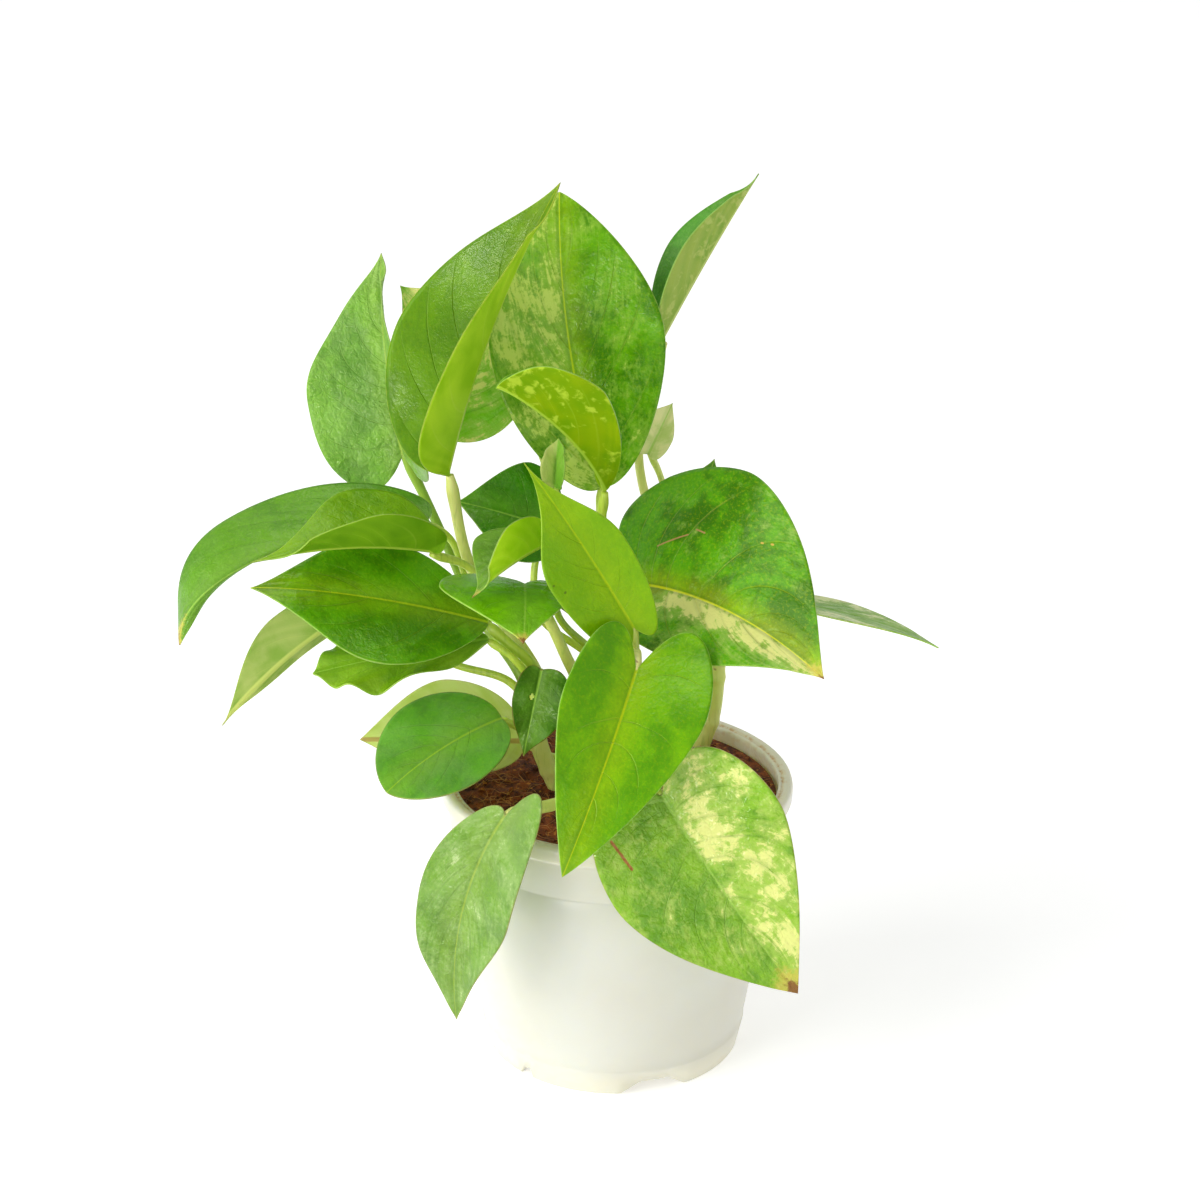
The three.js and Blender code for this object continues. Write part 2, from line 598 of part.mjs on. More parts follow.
// Points along a midrib of length 1.
function midribPath(leaf) {
  const path = [new Vector3()];
  for (let step = 0; step < SPINE_STEPS; step += 1) {
    const before = column(midribFrame(leaf, step / SPINE_STEPS), 0);
    const after = column(midribFrame(leaf, (step + 1) / SPINE_STEPS), 0);
    const next = path[step].clone().addScaledVector(before.add(after), 0.5 / SPINE_STEPS);
    path.push(next);
  }
  return path;
}

function midribPoint(leaf, path, share) {
  const within = Math.min(1, Math.max(0, share));
  const step = Math.min(SPINE_STEPS - 1, Math.floor(within * SPINE_STEPS));
  const point = path[step].clone().lerp(path[step + 1], within * SPINE_STEPS - step);
  return point.addScaledVector(column(midribFrame(leaf, within), 0), share - within);
}

// Half a blade's cross-section: how far out and up a point lies that is reach along it.
function crossSection(reach, width, fold, curl) {
  let out = 0;
  let up = 0;
  for (let step = 0; step < ARC_STEPS; step += 1) {
    for (const end of [step, step + 1]) {
      const angle = degrees(fold + (curl * reach * end) / ARC_STEPS / width);
      out += (0.5 * Math.cos(angle) * reach) / ARC_STEPS;
      up += (0.5 * Math.sin(angle) * reach) / ARC_STEPS;
    }
  }
  return [out, up];
}

// The rotation that takes the leaf's own chord and facing to its base, tip and faces, and
// the midrib's length.
function leafPlacing(leaf, path) {
  const chord = path.at(-1);
  const frameOf = (along, facing) => {
    const x = along.clone().normalize();
    const z = facing.clone().addScaledVector(x, -facing.dot(x)).normalize();
    const y = z.clone().cross(x);
    return new Matrix3().set(x.x, y.x, z.x, x.y, y.y, z.y, x.z, y.z, z.z);
  };
  const own = frameOf(chord, column(midribFrame(leaf, 0.5), 2));
  const span = new Vector3(...leaf.tip).sub(new Vector3(...leaf.base));
  const world = frameOf(span, new Vector3(...leaf.faces));
  return { turn: world.multiply(own.transpose()), length: span.length() / chord.length() };
}

// A function from u (0 base to 1 tip) and v (-1 right margin, 0 midrib, 1 left margin) to
// the middle surface of the blade.
function bladeSurface(leaf) {
  const path = midribPath(leaf);
  const { turn, length } = leafPlacing(leaf, path);
  return (u, v) => {
    const side = v >= 0 ? 0 : 1;
    const out = Math.abs(v);
    const [outlineX, outlineY] = halfOutline(leaf, side, u);
    const width = leaf.half[side];
    const along = u ** BASE_CROWDING * (1 - out) + outlineX * out;
    const flatten = Math.min(1, (outlineY * width) / FLAT_MARGIN);
    const fold = (leaf.fold[side] + leaf.unfold[side] * u) * flatten;
    const section = crossSection(outlineY * width * out, width, fold, leaf.curl[side]);
    const ripple = Math.sin(2 * Math.PI * leaf.waves * u + side * RIPPLE_LAG);
    const lift = section[1] + leaf.wave * ripple * out * out * Math.sin(Math.PI * u);
    const frame = midribFrame(leaf, Math.min(1, Math.max(0, along)));
    const point = midribPoint(leaf, path, along).multiplyScalar(length);
    point.addScaledVector(column(frame, 1), side === 0 ? section[0] : -section[0]);
    point.addScaledVector(column(frame, 2), lift);
    return point.applyMatrix3(turn).add(new Vector3(...leaf.base));
  };
}

// Direction out of the glossy side at the base.
function baseNormal(leaf) {
  const { turn } = leafPlacing(leaf, midribPath(leaf));
  return column(midribFrame(leaf, 0), 2).applyMatrix3(turn);
}

// The blade as a closed body, from a flat sheet that is bent to the middle surface.
function bladeSolid(leaf) {
  const surface = bladeSurface(leaf);
  const sheet = new THREE.PlaneGeometry(1, 2, leaf.stations, 2 * leaf.columns);
  return thickened(reshape(sheet, (x, y) => surface(x + 0.5, y)), BLADE_THICKNESS);
}

// ---- stems with their leaf stalks ----
const routeCurve = (route) => new CatmullRomCurve3(route.map((point) => new Vector3(...point)));

// Where a stalk stops: under the blade's base, clear of it by the gap however it slants.
function stalkEnd(leaf, lastVia, radius) {
  const base = new Vector3(...leaf.base);
  const normal = baseNormal(leaf);
  const along = base.clone().sub(new Vector3(...lastVia)).normalize();
  const slant = Math.sqrt(1 - along.dot(normal) ** 2);
  const below = BLADE_THICKNESS / 2 + STALK_GAP + radius * slant;
  return base.addScaledVector(normal, -below).toArray();
}

function stalkSolid(leafName, stalk) {
  const end = stalkEnd(LEAF_TABLE[leafName], stalk.via.at(-1), stalk.radius);
  const curve = routeCurve([stalk.from, ...stalk.via, end]);
  const radiusAt = (share) => stalk.radius * (1 + SHEATH_SWELL * (1 - share) ** 3);
  const steps = STALK_STEPS.least + STALK_STEPS.perPoint * stalk.via.length;
  return tube(curve, radiusAt, STALK_SIDES, steps);
}

// The outer skin alone, with any pocket shut in between crossing stalks filled.
function withoutPockets(solid) {
  return solid.decompose().find((body) => body.volume() > 0);
}

function makeStem(name, stem) {
  const [footRadius, topRadius] = stem.radii;
  const radiusAt = (share) => footRadius + (topRadius - footRadius) * share;
  let solid = tube(routeCurve(stem.route), radiusAt, STEM_SIDES, STEM_STEPS);
  for (const [leafName, stalk] of Object.entries(stem.stalks)) {
    solid = solid.add(stalkSolid(leafName, stalk));
  }
  return meshOf(name, withoutPockets(solid), "stem_skin");
}

// ---- the whole plant ----
const LEAF_TABLE = Object.fromEntries(
  Object.entries(LEAVES).map(([name, leaf]) => [name, { ...LEAF_DEFAULTS, ...leaf }]));

const plant = new THREE.Group();
plant.add(makePot());
plant.add(makeSoil());
for (const [name, stem] of Object.entries(STEMS)) {
  plant.add(makeStem(name, stem));
}
for (const [name, leaf] of Object.entries(LEAF_TABLE)) {
  plant.add(meshOf(name, bladeSolid(leaf), leaf.finish));
}

export default plant;
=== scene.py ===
"""A potted pothos: white nursery pot, coir soil, arching stalks and heart-shaped leaves.

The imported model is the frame. The pot, the soil, the stems and the blades are rebuilt here
in a finer mesh from the same driving sizes, and dressed. Sizes are millimetres until a mesh
is made, where they become metres.
"""

import logging
import math
import random
from dataclasses import dataclass, field
from enum import Enum
from typing import Any, Callable, Optional

import bmesh
import bpy
import numpy as np
from mathutils import Euler, Matrix, Vector, noise

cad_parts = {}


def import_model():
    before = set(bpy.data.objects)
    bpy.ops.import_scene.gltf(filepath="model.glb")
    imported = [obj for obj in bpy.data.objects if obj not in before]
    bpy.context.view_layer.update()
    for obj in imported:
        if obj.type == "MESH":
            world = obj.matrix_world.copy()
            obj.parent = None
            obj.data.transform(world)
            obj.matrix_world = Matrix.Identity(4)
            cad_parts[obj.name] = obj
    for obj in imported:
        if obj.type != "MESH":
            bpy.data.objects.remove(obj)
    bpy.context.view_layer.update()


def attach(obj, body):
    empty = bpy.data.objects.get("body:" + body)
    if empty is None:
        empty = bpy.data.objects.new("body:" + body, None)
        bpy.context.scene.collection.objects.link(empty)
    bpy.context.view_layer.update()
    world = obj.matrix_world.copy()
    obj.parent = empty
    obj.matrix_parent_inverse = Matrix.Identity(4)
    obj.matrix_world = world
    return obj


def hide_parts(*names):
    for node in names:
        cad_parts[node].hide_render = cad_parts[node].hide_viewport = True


LOG = logging.getLogger("pothos")
MM = 0.001  # metres in a millimetre
WELD = 1e-6  # metres within which points are merged
FINE_WELD = 1e-7  # the same on stalks and fibres
SIDE_HINT = (0.3, -1.0, 0.2)  # sets where a tube's faces begin
BODY = "root"

# A blade's maps, and the stalks' attribute.
BLADE_UV = "blade"  # shares of its length and width
BLADE_MM_UV = "blade_mm"  # how far along and across it a point lies
VEIN_UV = "blade_vein"  # the side veins' phase, and how far off the margin is
TONE = "tone"
UV_MM = 100.0  # millimetres to one unit of a map
VEIN_SCALE = 20.0  # side veins to one unit of the vein map

# From the midrib to the margin a side vein runs this share of the length towards the tip,
# by this power of the way out.
LATERAL_LEAN = 0.24
LATERAL_POWER = 1.25
USUAL_LENGTH = 75.0  # a blade's length in mm, by which a withered tip becomes a share

# Colours that the blades share.
WAX_TINT = "C6DC66"  # what the skin mirrors is greened by the tissue below it
HAZE_AND_SHEEN = "A3C07E"  # whitish haze on a blade: partly the skin's own wax, partly a painted sheen
WITHERING = "CFC052"  # the yellow zone before a withered tip
WITHERED = "8A5A2A"

# How far light spreads below the surface, in metres, for red, green and blue.
SPREAD_IN_PLASTIC = (0.006, 0.0052, 0.0034)
SPREAD_IN_STALK = (0.0012, 0.002, 0.0006)
SPREAD_IN_BLADE = (0.0006, 0.0012, 0.0003)

Pair = tuple[float, float]
Point = tuple[float, float, float]


# ---------------------------------------------------------------- shader helpers
def linear(code: str) -> tuple[float, float, float, float]:
    """Linear colour of an sRGB hex value.

    Args:
        code: Six hex digits, such as "8BC400".

    Returns:
        Red, green, blue and an alpha of 1.
    """
    channels = [int(code[place : place + 2], 16) / 255 for place in (0, 2, 4)]
    values = [c / 12.92 if c <= 0.04045 else ((c + 0.055) / 1.055) ** 2.4 for c in channels]
    return (values[0], values[1], values[2], 1.0)


def add_node(tree: Any, kind: str, settings: Optional[dict] = None, inputs: Optional[dict] = None) -> Any:
    """Adds a node with its settings and links.

    Args:
        tree: The node tree.
        kind: The node's type, without the ShaderNode in front.
        settings: Properties by name.
        inputs: Values, or sockets to link from, by input name or number.

    Returns:
        The node.
    """
    node = tree.nodes.new("ShaderNode" + kind)
    for key, value in (settings or {}).items():
        setattr(node, key, value)
    for key, value in (inputs or {}).items():
        if isinstance(value, bpy.types.NodeSocket):
            tree.links.new(value, node.inputs[key])
        else:
            node.inputs[key].default_value = value
    return node


@dataclass
class Graph:
    """A material's node tree, with the sums that the finishes write most."""

    material: bpy.types.Material

    @property
    def tree(self) -> Any:
        """The node tree."""
        return self.material.node_tree

    def add(self, kind: str, settings: Optional[dict] = None, **inputs: Any) -> Any:
        """Adds a node, with inputs by name.

        Args:
            kind: The node's type, without the ShaderNode in front.
            settings: Properties by name.
            **inputs: Values or sockets; _0 stands for input 0, and so on.

        Returns:
            The node's first output.
        """
        keyed = {int(k[1:]) if k[0] == "_" else k.replace("_", " "): v for k, v in inputs.items()}
        return add_node(self.tree, kind, settings, keyed).outputs[0]

    def sum(self, operation: str, a: Any, b: Any = 0.0, c: Any = 0.0) -> Any:
        """The result of a Math node on up to three numbers or sockets."""
        return self.add("Math", {"operation": operation}, _0=a, _1=b, _2=c)

    def step(self, value: Any, low: float, high: float, out_low: float = 0.0, out_high: float = 1.0) -> Any:
        """A smooth step of value from low to high, as out_low to out_high."""
        ends = {"From_Min": low, "From_Max": high, "To_Min": out_low, "To_Max": out_high}
        return self.add("MapRange", {"interpolation_type": "SMOOTHSTEP"}, Value=value, **ends)

    def step_mm(self, value: Any, ends: Pair) -> Any:
        """A smooth step from 0 to 1 of a value in metres between two ends in mm."""
        return self.step(value, ends[0] * MM, ends[1] * MM)

    def mix(self, factor: Any, a: Any, b: Any) -> Any:
        """The mix of two colours.

        Args:
            factor: The share of the second.
            a: The first colour, a hex value or a socket.
            b: The second colour.

        Returns:
            The colour's socket.
        """
        first, second = (linear(c) if isinstance(c, str) else c for c in (a, b))
        node = add_node(self.tree, "Mix", {"data_type": "RGBA"}, {0: factor, 6: first, 7: second})
        return node.outputs[2]

    def noise(
        self, vector: Any, size: float, detail: float = 3.0, rough: float = 0.5, warp: float = 0.0
    ) -> Any:
        """A noise value.

        Args:
            vector: Where it is read.
            size: Size of its patches, in the vector's own unit.
            detail: How many finer layers lie on them.
            rough: How strong the finer layers are.
            warp: How much the patches are bent.

        Returns:
            The value's socket.
        """
        layers = {"Detail": detail, "Roughness": rough, "Distortion": warp}
        return self.add("TexNoise", None, Vector=vector, Scale=1 / size, **layers)

    def vector(self, x: Any, y: Any, z: Any) -> Any:
        """A vector from three numbers or sockets."""
        return self.add("CombineXYZ", None, X=x, Y=y, Z=z)

    def split(self, vector: Any) -> tuple[Any, Any, Any]:
        """The three parts of a vector socket."""
        node = add_node(self.tree, "SeparateXYZ", None, {0: vector})
        return node.outputs[0], node.outputs[1], node.outputs[2]

    def surface(self, **inputs: Any) -> None:
        """Adds the shader and the output.

        Args:
            **inputs: The shader's inputs; an underscore stands for a space.
        """
        keyed = {key.replace("_", " "): value for key, value in inputs.items()}
        shader = add_node(self.tree, "BsdfPrincipled", None, keyed)
        add_node(self.tree, "OutputMaterial", None, {"Surface": shader.outputs[0]})


def new_graph(name: str) -> Graph:
    """Makes an empty material.

    Args:
        name: The material's name.

    Returns:
        Its graph, without a node.
    """
    material = bpy.data.materials.new(name)
    material.use_nodes = True
    material.node_tree.nodes.clear()
    return Graph(material)


# ---------------------------------------------------------------- finishes
@dataclass(frozen=True)
class MouldedPolypropylene:
    """Injection-moulded cream-white polypropylene: soft gloss, faint flow marks, a little soil dust.

    Light spreads deep in it, so that its shaded side stays warm and bright. Dust lies in the rim's
    groove, on the inside above the soil, and as grains near the rim. Sizes and heights in mm.
    """

    base: str = "E4E2D2"
    shade: str = "DFDBC9"
    dust: str = "C9A474"
    flow_marks: float = 45.45
    skin_grain: float = 3.846
    dust_patches: float = 2.381
    dust_grains: float = 1.111
    foot_radius: float = 40.0
    taper: float = 0.15
    groove_radius: float = 50.7
    groove_reach: float = 1.2
    groove_from: Pair = (86.5, 88.0)
    inside_depth: Pair = (0.9, 1.4)
    inside_from: Pair = (76.0, 80.0)
    rim_from: Pair = (80.0, 92.0)

    def build(self) -> bpy.types.Material:
        """Makes the material.

        Returns:
            The material.
        """
        g = new_graph("polypropylene_moulded_white")
        place = add_node(g.tree, "TexCoord").outputs["Object"]
        tone = g.step(g.noise(place, self.flow_marks * MM), 0.35, 0.7)
        dirt = self.dirt(g, place)
        colour = g.mix(dirt, g.mix(tone, self.base, self.shade), self.dust)
        rough = g.sum("ADD", g.sum("MULTIPLY", tone, 0.08), g.sum("MULTIPLY", dirt, 0.4))
        rough = g.sum("ADD", rough, 0.3)
        height = g.noise(place, self.skin_grain * MM, 2.0)
        bump = g.add("Bump", None, Strength=0.05, Distance=0.0004, Height=height)
        g.surface(
            Base_Color=colour, Roughness=rough, Normal=bump, IOR=1.49, Subsurface_Weight=0.6,
            Subsurface_Radius=SPREAD_IN_PLASTIC, Subsurface_Scale=1.0,
        )
        return g.material

    def dirt(self, g: Graph, place: Any) -> Any:
        """How much dust lies at a place.

        Args:
            g: The material's graph.
            place: The object coordinates.

        Returns:
            The share's socket.
        """
        x, y, z = g.split(place)
        radius = g.sum("SQRT", g.sum("ADD", g.sum("MULTIPLY", x, x), g.sum("MULTIPLY", y, y)))
        off_groove = g.sum("ABSOLUTE", g.sum("SUBTRACT", radius, self.groove_radius * MM))
        groove = g.step(off_groove, 0.0, self.groove_reach * MM, 1.0, 0.0)
        groove = g.sum("MULTIPLY", groove, g.step_mm(z, self.groove_from))
        specks = g.step(g.noise(place, self.dust_patches * MM, 4.0, 0.6), 0.46, 0.62)
        dirt = g.sum("MULTIPLY", groove, g.sum("MULTIPLY_ADD", specks, 0.7, 0.2))
        wall = g.sum("MULTIPLY_ADD", z, self.taper, self.foot_radius * MM)
        inner = g.step_mm(g.sum("SUBTRACT", wall, radius), self.inside_depth)
        inner = g.sum("MULTIPLY", inner, g.step_mm(z, self.inside_from))
        dirt = g.sum("MAXIMUM", dirt, g.sum("MULTIPLY", inner, g.sum("MULTIPLY", specks, 0.22)))
        grains = g.step(g.noise(place, self.dust_grains * MM, 2.0), 0.73, 0.76)
        return g.sum("MAXIMUM", dirt, g.sum("MULTIPLY", grains, g.step_mm(z, self.rim_from)))


@dataclass(frozen=True)
class DampCoir:
    """Damp coir and peat: dark red-brown crumbs, matt, with lighter dry flecks. Sizes in mm."""

    dark: str = "4A1C04"
    mid: str = "94490E"
    light: str = "C87E2E"
    crumb: float = 3.846
    fleck: float = 1.613

    def build(self) -> bpy.types.Material:
        """Makes the material.

        Returns:
            The material.
        """
        g = new_graph("coir_soil_damp")
        place = add_node(g.tree, "TexCoord").outputs["Object"]
        crumbs = g.noise(place, self.crumb * MM, 6.0, 0.65)
        colour = g.mix(g.step(crumbs, 0.38, 0.62), self.dark, self.mid)
        flecks = g.step(g.noise(place, self.fleck * MM, 4.0, 0.6), 0.56, 0.70)
        colour = g.mix(flecks, colour, self.light)
        bump = g.add("Bump", None, Strength=0.9, Distance=0.0012, Height=crumbs)
        g.surface(Base_Color=colour, Roughness=0.92, Normal=bump)
        return g.material


@dataclass(frozen=True)
class DryFibre:
    """Coconut husk fibre: orange-tan, stiff, matt, darker over stretches of about 11 mm."""

    light: str = "C98B4A"
    dark: str = "7A4420"
    stretch: float = 11.11

    def build(self) -> bpy.types.Material:
        """Makes the material.

        Returns:
            The material.
        """
        g = new_graph("coconut_fibre_dry")
        place = add_node(g.tree, "TexCoord").outputs["Object"]
        darker = g.step(g.noise(place, self.stretch * MM), 0.4, 0.62)
        g.surface(Base_Color=g.mix(darker, self.light, self.dark), Roughness=0.8)
        return g.material


@dataclass(frozen=True)
class FleshyStalk:
    """Living stalk skin: satin, pale yellow-green on sheathed stalks, deep green on older ones.

    The tone attribute picks the colour: 0 dark, 0.5 mid, 1 pale. Sizes are in mm, and a streak is
    1 / lift times as tall as it is wide.
    """

    dark: str = "6CA018"
    mid: str = "C2D846"
    pale: str = "E6E48C"
    scar: str = "8A6A30"
    clouds: float = 14.29
    streak: float = 1.111
    lift: float = 0.12
    scars: float = 4.167

    def build(self) -> bpy.types.Material:
        """Makes the material.

        Returns:
            The material.
        """
        g = new_graph("stalk_skin_living")
        place = add_node(g.tree, "TexCoord").outputs["Object"]
        tone = add_node(g.tree, "Attribute", {"attribute_name": TONE}).outputs["Fac"]
        clouds = g.sum("SUBTRACT", g.noise(place, self.clouds * MM), 0.5)
        tone = g.sum("ADD", tone, g.sum("MULTIPLY", clouds, 0.3))
        colour = g.mix(g.step(tone, 0.0, 0.5), self.dark, self.mid)
        colour = g.mix(g.step(tone, 0.5, 1.0), colour, self.pale)
        x, y, z = g.split(place)
        streaks = g.noise(g.vector(x, y, g.sum("MULTIPLY", z, self.lift)), self.streak * MM, 2.0)
        colour = g.mix(g.step(streaks, 0.5, 0.75, 0.0, 0.35), colour, self.dark)
        scars = g.step(g.noise(place, self.scars * MM), 0.70, 0.76)
        colour = g.mix(g.sum("MULTIPLY", scars, 0.7), colour, self.scar)
        bump = g.add("Bump", None, Strength=0.25, Distance=0.0003, Height=streaks)
        g.surface(
            Base_Color=colour, Roughness=0.42, Normal=bump, Subsurface_Weight=0.2,
            Subsurface_Radius=SPREAD_IN_STALK, Subsurface_Scale=1.0,
        )
        return g.material


class Marbling(Enum):
    """Kinds of variegation: its size across and along the side veins in mm, and how soft its edge is."""

    NONE = (1.0, 1.0, 0.02)
    FLECKS = (1.5, 1.9, 0.05)
    STREAKS = (2.2, 5.5, 0.05)
    BLOTCHES = (6.0, 8.0, 0.10)


@dataclass(frozen=True)
class Mark:
    """A scar, speck or spot on a blade: a line from start to end, (along, across) in mm."""

    start: Pair
    end: Pair
    width: float
    colour: str


@dataclass(frozen=True)
class BladeLook:
    """Colours and marks of one blade, with lengths in mm.

    ground, deep: The two greens that cloud over it.
    vein, cream, margin: Colours of the midrib, the marbling and the thin edge.
    amount, left, rib: How much of it is cream, and how much more so on the left half and along
        the midrib.
    band: A cream band beside the midrib: side (1 left, -1 right), width, the shares of the length
        where it starts and ends, and its strength.
    marks: Its scars, specks and spots.
    vein_show, rib_show: How clearly the side veins and the midrib show.
    brown: Length of the withered tip.
    haze_and_sheen, gloss, wax: Share of the whitish haze, partly wax and partly painted sheen, roughness of
    the skin, weight of the clear wax.
    laterals: Side veins in a half.
    relief, groove, pucker: How far the skin rises between them, how deep the midrib lies, and how
        strongly the skin puckers.
    """

    ground: str = "4E9A1E"
    deep: str = "347A10"
    vein: str = "9CC94A"
    cream: str = "EFEA8E"
    margin: str = "B9D46A"
    marbling: Marbling = Marbling.NONE
    amount: float = 0.3
    left: float = 0.0
    rib: float = 0.0
    band: tuple = ()
    marks: tuple = ()
    vein_show: float = 0.16
    rib_show: float = 0.62
    brown: float = 0.0
    haze_and_sheen: float = 0.0
    gloss: float = 0.34
    wax: float = 0.18
    laterals: float = 7.0
    relief: float = 0.14
    groove: float = 0.25
    pucker: float = 0.9


@dataclass
class BladeMap:
    """The sockets of a blade's own maps: where on the blade a point lies, in mm and in shares.

    seed gives each blade its own noise, spacing is about how far apart the side veins are.
    """

    g: Graph
    seed: float
    spacing: float = 7.0

    def __post_init__(self) -> None:
        """Reads the maps."""
        g = self.g
        self.u, across_uv, _ = g.split(g.add("UVMap", {"uv_map": BLADE_UV}))
        self.side = g.sum("MULTIPLY_ADD", across_uv, 2.0, -1.0)
        along, across, _ = g.split(g.add("UVMap", {"uv_map": BLADE_MM_UV}))
        self.along = g.sum("MULTIPLY", along, UV_MM)
        self.across = g.sum("MULTIPLY", across, UV_MM)
        self.off_rib = g.sum("ABSOLUTE", self.across)
        phase, margin, _ = g.split(g.add("UVMap", {"uv_map": VEIN_UV}))
        self.phase = g.sum("MULTIPLY", phase, VEIN_SCALE)
        self.margin = g.sum("MULTIPLY", margin, UV_MM)
        self.line = g.sum("ABSOLUTE", g.sum("SUBTRACT", g.sum("FRACT", self.phase), 0.5))

    def clouds(self, size: float, layer: float, detail: float = 3.0, rough: float = 0.55) -> Any:
        """A noise value with patches of size mm, the same in every direction."""
        place = self.g.vector(self.along, self.across, self.seed + layer)
        return self.scaled(place, size, size, detail, rough)

    def veined(
        self, across: float, along: float, layer: float, detail: float = 4.0, rough: float = 0.6
    ) -> Any:
        """A noise value whose patches run along the side veins.

        Args:
            across: Size of a patch across the veins, in mm.
            along: Its size along them.
            layer: Number that gives each pattern its own noise.
            detail: How many finer layers lie on it.
            rough: How strong they are.

        Returns:
            The value's socket.
        """
        other = self.g.step(self.side, -0.01, 0.01, 0.0, 40.0)
        lead = self.g.sum("MULTIPLY", self.phase, self.spacing)
        place = self.g.vector(lead, self.off_rib, self.g.sum("ADD", other, self.seed + layer))
        return self.scaled(place, across, along, detail, rough)

    def scaled(self, place: Any, first: float, second: float, detail: float, rough: float) -> Any:
        """A noise value at a place in mm.

        Args:
            place: The place's socket.
            first: Size of a patch in the first direction, in mm.
            second: Its size in the second.
            detail: How many finer layers lie on it.
            rough: How strong they are.

        Returns:
            The value's socket.
        """
        squeeze = (1 / first, 1 / second, 1.0)
        moved = self.g.add("VectorMath", {"operation": "MULTIPLY"}, _0=place, _1=squeeze)
        return self.g.noise(moved, 1.0, detail, rough, 0.35)


